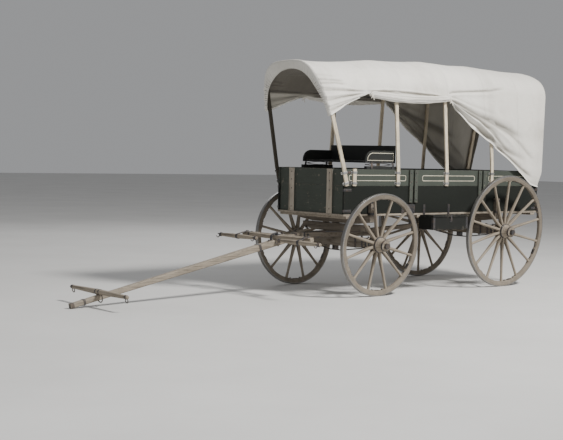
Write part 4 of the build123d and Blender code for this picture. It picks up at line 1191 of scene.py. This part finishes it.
def stripe_loop(shape, corners, place, width=0.0065, thick=0.0007, radius=0.020):
    """Rectangle with rounded corners in a place's XY plane, facing its Z."""
    (x0, y0), (x1, y1) = corners
    left, right, low, high = x0 + radius, x1 - radius, y0 + radius, y1 - radius
    rows = []
    for cx, cy, first in ((right, high, 0), (left, high, 90), (left, low, 180), (right, low, 270)):
        for turn in range(first, first + 91, 18):
            x, y = circle(radius, math.radians(turn))
            x, y = cx + x, cy + y
            out = Vector((x - min(max(x, left), right), y - min(max(y, low), high))).normalized() * width / 2
            section = ((1, 0), (1, thick), (-1, thick), (-1, 0))
            rows.append([place @ Vector((x + k * out.x, y + k * out.y, h)) for k, h in section])
    shape.grid(rows, closed_u=True, closed_v=True)


def make_stripes(side, name):
    shape = Shape()
    place = frame_from(at(0, side * HALF_OUT, 0), (0, side, 0), (-side, 0, 0))
    for panel in PANELS:
        x0, x1 = sorted(-side * station for station in panel)
        stripe_loop(shape, ((x0, PANEL_LOW), (x1, PANEL_HIGH)), place)
    shape.make("box_stripes_" + name, "stripe", "wagon", "box_paint", 30)


for side, name in SIDES:
    make_stripes(side, name)


# Irons of the box

STRAP = 0.003
STRAP_HALF = 0.014
ROD_STATION = BOX_LENGTH - 0.012
ROD_HEIGHTS = (FLOOR_TOP + 0.09, BOX_TOP - 0.11)
POSTS = (-0.322, 0.322)
SILL_BOLT_PITCH = 0.225


def make_corner_straps(shape, side):
    """Straps wrapped round the ends of the boards."""
    for z in (FLOOR_TOP + 0.035, SIDE_TOP - 0.045, SIDE_TOP + 0.035, BOX_TOP - 0.035):
        zs = (z - STRAP_HALF, z + STRAP_HALF)
        for end, way in ((0.0, 1), (BOX_LENGTH, -1)):
            outer = end - way * STRAP
            shape.slab(sorted((outer, end + way * 0.105)), (HALF_OUT, HALF_OUT + STRAP), zs, side)
            shape.slab(sorted((outer, end)), (HALF_OUT - BOARD, HALF_OUT), zs, side)
            if end or z < SIDE_TOP:
                for along in (0.035, 0.085):
                    shape.side_bolt(end + way * along, HALF_OUT + STRAP, z, side, 0.006)


def make_stake_irons(shape, bolster, side):
    low, high = station_box(bolster)
    middle = (low.x + high.x) / 2
    y = HALF_OUT + 0.0003
    for z in (high.z - 0.028, FLOOR_LOW + 0.022):
        zs = (z - 0.013, z + 0.013)
        shape.slab((middle - 0.0325, middle - 0.030), (y, y + 0.044), zs, side)
        shape.slab((middle + 0.030, middle + 0.0325), (y, y + 0.044), zs, side)
        shape.slab((middle - 0.0325, middle + 0.0325), (y + 0.0437, y + 0.0467), zs, side)
    shape.side_bolt(middle, HALF_OUT + 0.0467, high.z - 0.028, side)
    shape.side_bolt(middle, HALF_OUT + 0.0440, FLOOR_LOW + 0.09, side, 0.009, 0.006)


def make_side_irons(shape, side):
    """Bolts of cleats, staples and rub irons, wear strips and the end rods' nuts."""
    for middle in (0.322 * BOX_LENGTH, 2.170):
        for step in (-0.04, 0.04):
            for z in (SIDE_TOP - 0.15, SIDE_TOP - 0.045, SIDE_TOP + 0.045, BOX_TOP - 0.035):
                shape.side_bolt(middle + step, HALF_OUT + 0.020, z, side, 0.0085, 0.006)
    make_corner_straps(shape, side)
    for station, lean in FEET:
        c, s = circle(1, math.radians(lean))
        for rise in (0.030, 0.145):
            for shift in (-0.0358, 0.0358):
                x, z = station + rise * s + shift * c, SIDE_TOP + rise * c - shift * s
                shape.side_bolt(x, HALF_OUT + 0.004, z, side, 0.0055, 0.004)
    # wear strips on the top edges, clear of the seat rails
    low, high = station_box("seat_rails")
    ys = (HALF_OUT - BOARD + 0.002, HALF_OUT - 0.001)
    for xs in ((0.004, low.x - 0.01), (high.x + 0.01, BOX_LENGTH - 0.004)):
        shape.slab(xs, ys, (BOX_TOP, BOX_TOP + 0.0016), side, 0.0006)
    low, high = station_box("rub_irons")
    for x in (low.x + 0.025, high.x - 0.025):
        for z in (low.z + 0.022, high.z - 0.022):
            shape.side_bolt(x, HALF_OUT + 0.005, z, side)
    for z in ROD_HEIGHTS:
        shape.side_bolt(ROD_STATION, HALF_OUT, z, side, 0.009, 0.009, square=True, washer=True)
    for bolster in ("front_bolster", "rear_bolster"):
        make_stake_irons(shape, bolster, side)


def make_box_irons():
    shape = Shape()
    for side in BOTH:
        make_side_irons(shape, side)
    for z in ROD_HEIGHTS:
        shape.tube([at(ROD_STATION, side * (HALF_OUT + 0.004), z) for side in BOTH], 0.0045)
    # bolts through the front gate's posts, and through the floor into the sills
    for y in POSTS:
        for z in (FLOOR_TOP + 0.05, SIDE_TOP - 0.05, SIDE_TOP + 0.05, BOX_TOP - 0.045):
            shape.stud(0.002, y, z, FORE, 0.008)
    for station in (0.075, BOX_LENGTH * 0.36, BOX_LENGTH * 0.56, BOX_LENGTH - 0.075):
        for k in range(-2, 3):
            for y in (k * SILL_BOLT_PITCH - 0.07, k * SILL_BOLT_PITCH + 0.07):
                if abs(y) < HALF_OUT - 0.05:
                    shape.stud(station, y, FLOOR_TOP, UP, 0.006, 0.0025)
    shape.make("box_irons", "iron", "wagon", "iron")


def make_gate_posts():
    """Pale worn boards over the front gate's cleats, and the tail gate's bolts."""
    shape = Shape()
    for y in POSTS:
        zs = (FLOOR_TOP + 0.002, BOX_TOP - 0.002)
        shape.slab((0.0004, 0.0022), (y - 0.0455, y + 0.0455), zs, round_by=0.0008)
    shape.make("gate_posts", "post", "wagon", "box_paint")
    shape = Shape()
    low, high = station_box("rear_gate")
    for y in POSTS:
        for z in (low.z + 0.05, SIDE_TOP - 0.05, SIDE_TOP + 0.05, high.z - 0.045):
            shape.stud(high.x, y, z, AFT, 0.008, 0.004)
            shape.stud(low.x, y, z, FORE, 0.007, 0.007, square=True)
    shape.make("rear_gate_bolts", "iron", "rear_gate", "iron")


make_box_irons()
make_gate_posts()


# Irons of the running gear

TRUSS_DROP = 0.052
NUT = {"radius": 0.009, "square": True}


def axle_irons(shape, axle):
    """Clips round the axle bed, and the truss rod under it on two blocks; gives the axle's station."""
    low, high = station_box(axle)
    x = (low.x + high.x) / 2
    half = (high.x - low.x) / 2
    for side in BOTH:
        for y, rise in ((0.495, 0.0113), (0.385, 0.0028)):
            place = frame_from(at(x, side * y, (low.z + rise + high.z) / 2), (0, 1, 0))
            shape.hoop(place, half + 0.0003, (high.z - low.z - rise) / 2 + 0.0003, 0.026, 0.004)
            for way in BOTH:
                shape.stud(x + way * (half + 0.002), side * y, high.z + 0.004, UP, height=0.010, **NUT)
    dip = low.z - TRUSS_DROP
    bends = [(0.10, dip), (0.42, low.z - 0.008), (0.47, low.z + 0.004)]
    rod = [(-y, z) for y, z in reversed(bends)] + bends
    shape.tube([at(x + 0.016, y, z) for y, z in rod], 0.0065)
    for side in BOTH:
        shape.slab((x - 0.020, x + 0.030), (0.018, 0.030), (dip + 0.004, low.z), side, 0.002)
    return x


def make_front_gear_irons():
    shape = Shape()
    x = axle_irons(shape, "front_axle")
    axle_low = station_box("front_axle")[0]
    board_low, board_high = station_box("sand_board")
    hound_low, hound_high = station_box("front_hounds")
    sway_low, sway_high = station_box("sway_bar")
    sway = (sway_low.x + sway_high.x) / 2
    top = board_high.z - 0.010
    plate = 0.004
    for side in BOTH:
        # bolts down through sand board and hounds
        shape.stud(x, side * 0.165, top, UP, 0.012, 0.006, washer=True)
        shape.stud(x, side * 0.165, axle_low.z, DOWN, 0.012, 0.012, square=True, washer=True)
        shape.stud(x, side * 0.40, top, UP, 0.010, 0.005)
        # jaw plates with their bolts
        y = side * 0.073
        xs, ys = (hound_low.x + 0.006, 0.10), (y - 0.019, y + 0.019)
        shape.slab(xs, ys, (hound_high.z, hound_high.z + plate), round_by=0.0015)
        shape.slab(xs, ys, (hound_low.z - plate, hound_low.z), round_by=0.0015)
        for along in (-0.150, -0.035, 0.075):
            shape.stud(along, y, hound_high.z + plate, UP)
            shape.stud(along, y, hound_low.z - plate, DOWN, height=0.009, **NUT)
        # band round the front end of each jaw
        place = frame_from(at(hound_low.x + 0.022, y, (hound_low.z + hound_high.z) / 2), AFT, (0, 1, 0))
        shape.hoop(place, 0.0233, 0.0253, 0.022, 0.003)
        # brace from the sand board's end forward to the jaw
        brace = [(x - 0.044, 0.46, board_low.z + 0.03), (x - 0.075, 0.43, board_low.z + 0.02),
                 (0.14, 0.16, hound_high.z + 0.010), (0.09, 0.10, hound_high.z + 0.008)]
        shape.bar([at(bx, side * by, bz) for bx, by, bz in brace], 0.022, 0.007)
        # tail bolts through the sway bar
        shape.stud(sway, side * 0.256, hound_high.z, UP)
        shape.stud(sway, side * 0.256, sway_low.z, DOWN, height=0.009, **NUT)
    xs = (sway_low.x + 0.004, sway_high.x - 0.004)
    shape.slab(xs, (-0.20, 0.20), (sway_high.z, sway_high.z + 0.0015), round_by=0.0007)
    shape.make("front_gear_irons", "iron", "front_gear", "iron")


def make_rear_gear_irons():
    shape = Shape()
    x = axle_irons(shape, "rear_axle")
    axle_low, axle_high = station_box("rear_axle")
    hounds_low, hounds_high = station_box("rear_hounds")
    pole_low, pole_high = station_box("reach")
    pole_z = axle_high.z + 0.025
    for side in BOTH:
        for y in (0.15, 0.32):
            shape.stud(x, side * y, axle_low.z, DOWN, 0.011, 0.011, square=True, washer=True)
        # bolts through the tails of the hounds
        shape.stud(hounds_high.x - 0.035, side * 0.232, axle_high.z + 0.051, UP)
    # clip round the hounds' front ends and the reach
    back = 0.075
    clip = hounds_low.x + back
    middle = pole_z - 0.062 * (1 - back / 0.88)
    shape.hoop(frame_from(at(clip, 0, middle), AFT, (0, 1, 0)), 0.078, 0.0335, 0.030, 0.004)
    for side in BOTH:
        shape.stud(clip, side * 0.060, middle + 0.0375, UP, height=0.008, **NUT)
    # iron under the reach, and its pin behind the axle
    slope = ((0.50, -0.002), (1.30, 0.0385), (1.60, 0.0537))
    shape.bar([at(along, 0, pole_low.z + rise) for along, rise in slope], 0.036, 0.004)
    for along in (0.62, 0.95, 1.28, 1.55):
        shape.stud(along, 0, pole_low.z + 0.0505 * (along - 0.47) - 0.002, DOWN, height=0.008, **NUT)
    pin = x + 0.085
    shape.tube([at(pin, 0, axle_high.z - 0.035), at(pin, 0, axle_high.z + 0.075)], 0.009, 12)
    shape.stud(pin, 0, axle_high.z + 0.05, UP, 0.014, 0.012)
    end = frame_from(at(pole_high.x - 0.020, 0, pole_z), AFT, (0, 1, 0))
    shape.hoop(end, 0.0353, 0.0253, 0.026, 0.003)
    shape.make("rear_gear_irons", "iron", "wagon", "iron")


make_front_gear_irons()
make_rear_gear_irons()


# Tongue, evener, singletrees and neck yoke

DRAW = Vector(joints["evener_swing"]["axis"])
POLE_PLACE = frame_from(joints["tongue_lift"]["pos_m"], DRAW)
TONGUE_LENGTH = 2.930
TONGUE_ROOT, TONGUE_TIP = 0.074, 0.050
TONGUE_WIDE = 0.090
YOKE_BACK = TONGUE_LENGTH - 0.330
YOKE_RINGS = 0.505
TREE_HOOKS = 0.318


def pole_half(distance, root=TONGUE_ROOT):
    """Half the tongue's height, or from root TONGUE_WIDE its width, at a distance in front of its pin."""
    return (root + (TONGUE_TIP - root) * distance / TONGUE_LENGTH) / 2


def make_tongue_irons():
    shape = Shape()
    for distance, width, proud in ((TONGUE_LENGTH - 0.020, 0.034, -0.0027),
                                   (TONGUE_LENGTH - 0.150, 0.024, -0.0014),
                                   (0.62, 0.028, 0.0006), (0.12, 0.028, 0.0006)):
        place = moved(POLE_PLACE, x=-distance, turn=QUARTER, axis="Y")
        shape.hoop(place, pole_half(distance) + proud, pole_half(distance, TONGUE_WIDE) + proud, width, 0.003)
    cap = moved(POLE_PLACE, x=-TONGUE_LENGTH, turn=-QUARTER, axis="Y")
    shape.lathe(cap, [(-0.004, 0.020), (0.002, 0.020), (0.004, 0.016)], 20)
    # strap over the evener and its bolts
    top = pole_half(0.35) + 0.0003
    lift = top + 0.044 + 0.022
    rise = [(-0.235, top + 0.003), (-0.262, top + 0.004), (-0.280, lift - 0.012), (-0.305, lift),
            (-0.395, lift), (-0.420, lift - 0.012), (-0.438, top + 0.003), (-0.480, top + 0.002)]
    shape.bar([POLE_PLACE @ Vector((x, 0, z)) for x, z in rise], 0.034, 0.006, up=DRAW)
    for x in (-0.248, -0.462):
        shape.bolt(moved(POLE_PLACE, x, 0, top + 0.005), 0.009, 0.007, square=True)
    # bolts in the tongue's sides at the jaw
    for side in BOTH:
        for x in (-0.22, -0.30, 0.06):
            shape.bolt(moved(POLE_PLACE, x, side * pole_half(max(0.0, -x), TONGUE_WIDE), 0, -side * QUARTER))
    # stop for the neck yoke's ring
    stop = moved(POLE_PLACE, 0.030 - YOKE_BACK, 0, pole_half(YOKE_BACK))
    shape.block((0.0, -0.012, 0.0), (0.075, 0.012, 0.007), stop)
    shape.block((0.0, -0.012, 0.006), (0.012, 0.012, 0.030), stop)
    shape.make("tongue_irons", "iron", "tongue", "iron")


def make_evener_irons():
    place = frame_from(joints["evener_swing"]["pos_m"], DRAW)
    shape = Shape()
    shape.block((-0.033, -0.060, 0.0218), (0.033, 0.060, 0.0248), place, 0.001)
    for side in BOTH:
        for y, z in ((0.045, 0.0248), (0.28, 0.0218)):
            shape.bolt(moved(place, 0, side * y, z), 0.007, 0.005)
        shape.hoop(moved(place, 0, side * 0.47, 0, QUARTER), 0.0268, 0.0223, 0.022, 0.003)
    shape.make("evener_irons", "iron", "evener", "iron")


# offset along the bar, radius
TREE_ROWS = mirrored([
    (-0.340, 0.0125), (-0.3385, 0.0160), (-0.335, 0.0172), (-0.300, 0.0172), (-0.293, 0.0180),
    (-0.20, 0.0214), (-0.10, 0.0245), (0.0, 0.0262),
])
YOKE_ROWS = mirrored([
    (-0.535, 0.0130), (-0.533, 0.0170), (-0.529, 0.0182), (-0.46, 0.0190), (-0.445, 0.0196), (-0.25, 0.0236),
    (-0.10, 0.0262), (-0.05, 0.0270),
])


def make_singletree(name):
    """Turned bar with ferrules and hooks, in the clevis that hangs from the evener's end."""
    body = "singletree_" + name
    joint = joints[body + "_swing"]
    place = frame_from(joint["pos_m"], joint["axis"])
    reach, gap, cheek = 0.130, 0.0235, 0.007
    bar_place = moved(place, x=-reach, turn=QUARTER)
    bar = Shape()
    bar.lathe(bar_place, TREE_ROWS, 28)
    bar.make(body + "_bar", "turned", body, "gear_wood", 45)
    irons = Shape()
    for way in BOTH:
        low, high = sorted((way * gap, way * (gap + cheek)))
        irons.block((-reach, -0.017, low), (0.024, 0.017, high), place, 0.003)
        end = moved(bar_place, z=way * TREE_HOOKS)
        irons.ferrule(end, 0.018, 0.0165, 0.0190, 0.0198)
        irons.ring(end, 0.0065, 0.0190, 0.0235)
        # open hook: up from the ferrule, round and back
        hook = [place @ Vector((-reach - 0.018, way * TREE_HOOKS, 0.004))]
        for k in range(19, -1, -1):
            x, z = circle(0.0205, math.radians(-200 + 285 * k / 19))
            hook.append(place @ Vector((-reach - 0.0445 + x, way * TREE_HOOKS, z)))
        irons.tube(hook, [0.0055] * 15 + [0.005, 0.0045, 0.004, 0.0035, 0.003, 0.0025])
    irons.ferrule(bar_place, 0.017, 0.0255, 0.0300, 0.0305, 32)
    irons.lathe(place, [(-0.0345, 0.0085), (-0.0345, 0.0088), (0.033, 0.0088), (0.034, 0.0085)], 20)
    irons.bolt(moved(place, z=gap + cheek), 0.013, 0.007)
    irons.bolt(moved(place, z=-gap - cheek, turn=math.pi), 0.011, 0.009, square=True)
    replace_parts(irons.make(body + "_irons", "iron", body, "iron"), body)


def make_neck_yoke():
    """Turned yoke with its centre ring round the tongue and a ring at each end."""
    lift = pole_half(YOKE_BACK) + 0.0003 + 0.027
    base = moved(POLE_PLACE, x=-YOKE_BACK)
    across = moved(base, z=lift, turn=QUARTER)
    bar = Shape()
    bar.lathe(across, YOKE_ROWS, 28)
    bar.make("neck_yoke_bar", "turned", "tongue", "gear_wood", 45)
    irons = Shape()
    irons.link(moved(base, turn=QUARTER, axis="Y"), 0.052, 0.006)
    for step in (-0.030, 0.030):
        irons.ring(moved(across, z=step), 0.009, 0.0262, 0.0290)
    for way in BOTH:
        irons.ring(moved(across, z=way * YOKE_RINGS), 0.014, 0.0178, 0.0205)
        irons.link(moved(base, 0, way * YOKE_RINGS, lift - 0.034, QUARTER, "Y"), 0.022, 0.005)
    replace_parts(irons.make("neck_yoke_irons", "iron", "tongue", "iron"), "neck_yoke")


make_tongue_irons()
make_evener_irons()
for side, name in SIDES:
    make_singletree(name)
make_neck_yoke()


# Seat and tool box

def make_seat_trim():
    low, high = station_box("seat")
    stripes, irons = Shape(), Shape()
    board_top = low.z + BOARD
    arm, inset = 0.112, 0.030
    edge = HALF_OUT - 0.0035
    for side in BOTH:
        # stripe inside the outline of the curved arm
        points = [(low.x + 0.052, board_top + 0.006)]
        for k in range(9):
            x, z = circle(arm - inset, math.radians(180 - 90 * k / 8))
            points.append((low.x + arm + x, board_top + z + 0.004))
        points += [(high.x - 0.030, board_top + arm - inset + 0.004), (high.x - 0.030, board_top + 0.006),
                   points[0]]
        stripe = [at(x, side * (high.y + 0.0004), z) for x, z in points]
        stripes.bar(stripe, 0.0060, 0.0012, up=(0, side, 0))
        for x in (low.x + 0.10, low.x + 0.25, high.x - 0.05):
            irons.side_bolt(x, high.y, low.z + 0.010, side, 0.006, 0.0035)
        # hooks that keep the seat on the rails
        bends = [(edge - 0.016, low.z - 0.001), (edge, low.z - 0.006), (edge + 0.0005, BOX_TOP + 0.020),
                 (edge + 0.0005, BOX_TOP + 0.003)]
        for x in (low.x + 0.07, high.x - 0.06):
            irons.bar([at(x, side * y, z) for y, z in bends], 0.024, 0.004, up=(0, side, 0.3))
    # stripe and bolts on the seat back
    corners = ((-high.y + 0.05, board_top + 0.05), (high.y - 0.05, high.z - 0.035))
    stripe_loop(stripes, corners, frame_from(at(high.x, 0, 0), AFT, (0, 1, 0)), 0.006, 0.0006, 0.022)
    for y in (-0.40, 0.0, 0.40):
        irons.stud(high.x, y, board_top + 0.025, AFT, 0.006, 0.0035)
        irons.stud(high.x - 0.018, y, board_top + 0.025, FORE, 0.006, 0.0035)
    stripes.make("seat_stripes", "stripe", "wagon", "seat_paint", 40)
    irons.make("seat_irons", "iron", "wagon", "iron")


THIN_EDGE = 0.0008
SHEET_IRON = 0.002


def make_tool_box_irons():
    """Corner plates, hasp with its ring, and the lid's hinges."""
    low, high = station_box("tool_box")
    lid_low, lid_high = station_box("tool_box_lid")
    face, top = low.y, lid_low.z
    front = face - SHEET_IRON
    left, right = low.x - SHEET_IRON, high.x + SHEET_IRON
    zs = (low.z + 0.010, top - 0.008)
    box = Shape()
    for xs in ((left, low.x + 0.030), (high.x - 0.030, right)):
        box.slab(xs, (front, face), zs, round_by=THIN_EDGE)
        for z in (low.z + 0.035, top - 0.035):
            box.stud(sum(xs) / 2, front, z, (0, -1, 0), 0.005, 0.003)
    for xs in ((left, low.x), (high.x, right)):
        box.slab(xs, (front, face + 0.030), zs, round_by=THIN_EDGE)
    middle = (low.x + high.x) / 2
    zs = (top - 0.062, top - 0.022)
    box.slab((middle - 0.016, middle + 0.016), (face - 0.0025, face), zs, round_by=THIN_EDGE)
    box.link(frame_from(at(middle, face - 0.009, top - 0.036), AFT, (0, 1, 0)), 0.0065, 0.002, 8, 20)
    box.make("tool_box_irons", "iron", "wagon", "iron")
    lid = Shape()
    edge, crest, back = lid_low.y, lid_high.z, lid_high.y
    hasp = (middle - 0.013, middle + 0.013)
    lid.slab(hasp, (edge - 0.0035, edge - 0.0005), (top - 0.052, crest - 0.001), round_by=THIN_EDGE)
    lid.slab(hasp, (edge - 0.0035, edge + 0.060), (crest - 0.001, crest + SHEET_IRON), round_by=THIN_EDGE)
    for step in (0.020, 0.045):
        lid.stud(middle, edge + step, crest + SHEET_IRON, UP, 0.005, 0.003)
    leaf = 0.0025
    for x in (low.x + 0.110, high.x - 0.110):
        ys = (back - 0.125, back - 0.010)
        lid.slab((x - 0.018, x + 0.018), ys, (crest, crest + leaf), round_by=THIN_EDGE)
        for step in (0.038, 0.073, 0.113):
            lid.stud(x, back - step, crest + leaf, UP, 0.005, 0.003)
    lid.make("tool_box_lid_irons", "iron", "tool_box_lid", "iron")


make_seat_trim()
make_tool_box_irons()


# Light, floor and camera

FLOOR_REACH = 60
# place, heading, pitch and roll in degrees and focal length in pixels, fitted to the photograph
CAMERA = {"place": (-8.5293, -10.0552, 1.5087), "heading": -38.9744, "pitch": -3.1253, "roll": 1.2070,
          "focal": 1195.02}
PICTURE_WIDTH = 563


def area_light(name, place, target, size, power, colour=(1, 1, 1)):
    light = bpy.data.lights.new(name, "AREA")
    light.shape = "DISK"
    light.size = size
    light.energy = power
    light.color = colour
    lamp = bpy.data.objects.new(name, light)
    lamp.location = place
    lamp.rotation_euler = (Vector(target) - Vector(place)).to_track_quat("-Z", "Y").to_euler()
    bpy.context.scene.collection.objects.link(lamp)


def make_floor():
    mesh = bpy.data.meshes.new("pale_floor")
    corners = [(-FLOOR_REACH, -FLOOR_REACH, 0), (FLOOR_REACH, -FLOOR_REACH, 0), (FLOOR_REACH, FLOOR_REACH, 0),
               (-FLOOR_REACH, FLOOR_REACH, 0)]
    mesh.from_pydata(corners, [], [(0, 1, 2, 3)])
    n = Nodes("pale_floor")
    soft = n.noise(n.add("TexCoord")["Object"], 0.6, 4.0)
    colour = n.ramp(soft, (0.3, (0.56, 0.555, 0.54)), (0.7, (0.62, 0.615, 0.60)))
    mesh.materials.append(n.finish(Base_Color=colour, Roughness=0.9))
    floor = bpy.data.objects.new("pale_floor", mesh)
    bpy.context.scene.collection.objects.link(floor)


def make_sky():
    world = bpy.data.worlds.new("soft_sky")
    world.use_nodes = True
    background = world.node_tree.nodes["Background"]
    background.inputs[0].default_value = (0.82, 0.83, 0.85, 1)
    background.inputs[1].default_value = 0.40
    bpy.context.scene.world = world


def make_camera():
    data = bpy.data.cameras.new("camera")
    data.sensor_fit = "HORIZONTAL"
    data.sensor_width = 36.0
    data.lens = CAMERA["focal"] * data.sensor_width / PICTURE_WIDTH
    data.clip_end = 200
    camera = bpy.data.objects.new("camera", data)
    yaw, pitch, roll = (math.radians(CAMERA[key]) for key in ("heading", "pitch", "roll"))
    ahead = Vector((-math.sin(yaw) * math.cos(pitch), math.cos(yaw) * math.cos(pitch), math.sin(pitch)))
    right = Vector((math.cos(yaw), math.sin(yaw), 0))
    up = right.cross(ahead)
    turned_right = right * math.cos(roll) + up * math.sin(roll)
    turned_up = up * math.cos(roll) - right * math.sin(roll)
    turn = Matrix((turned_right, turned_up, -ahead)).transposed()
    camera.matrix_world = Matrix.Translation(at(*CAMERA["place"])) @ turn.to_4x4()
    bpy.context.scene.collection.objects.link(camera)
    bpy.context.scene.camera = camera


make_floor()
make_sky()
area_light("key", (3.0, -8.6, 10.6), (0.3, 0, 1.3), 2.2, 2900, (1.0, 0.985, 0.96))
area_light("fill", (-8.0, -5.5, 3.5), (-0.5, 0, 1.0), 6.0, 120, (0.95, 0.97, 1.0))
area_light("back", (4.0, 9.0, 7.0), (0, 0, 1.5), 6.0, 200)
make_camera()
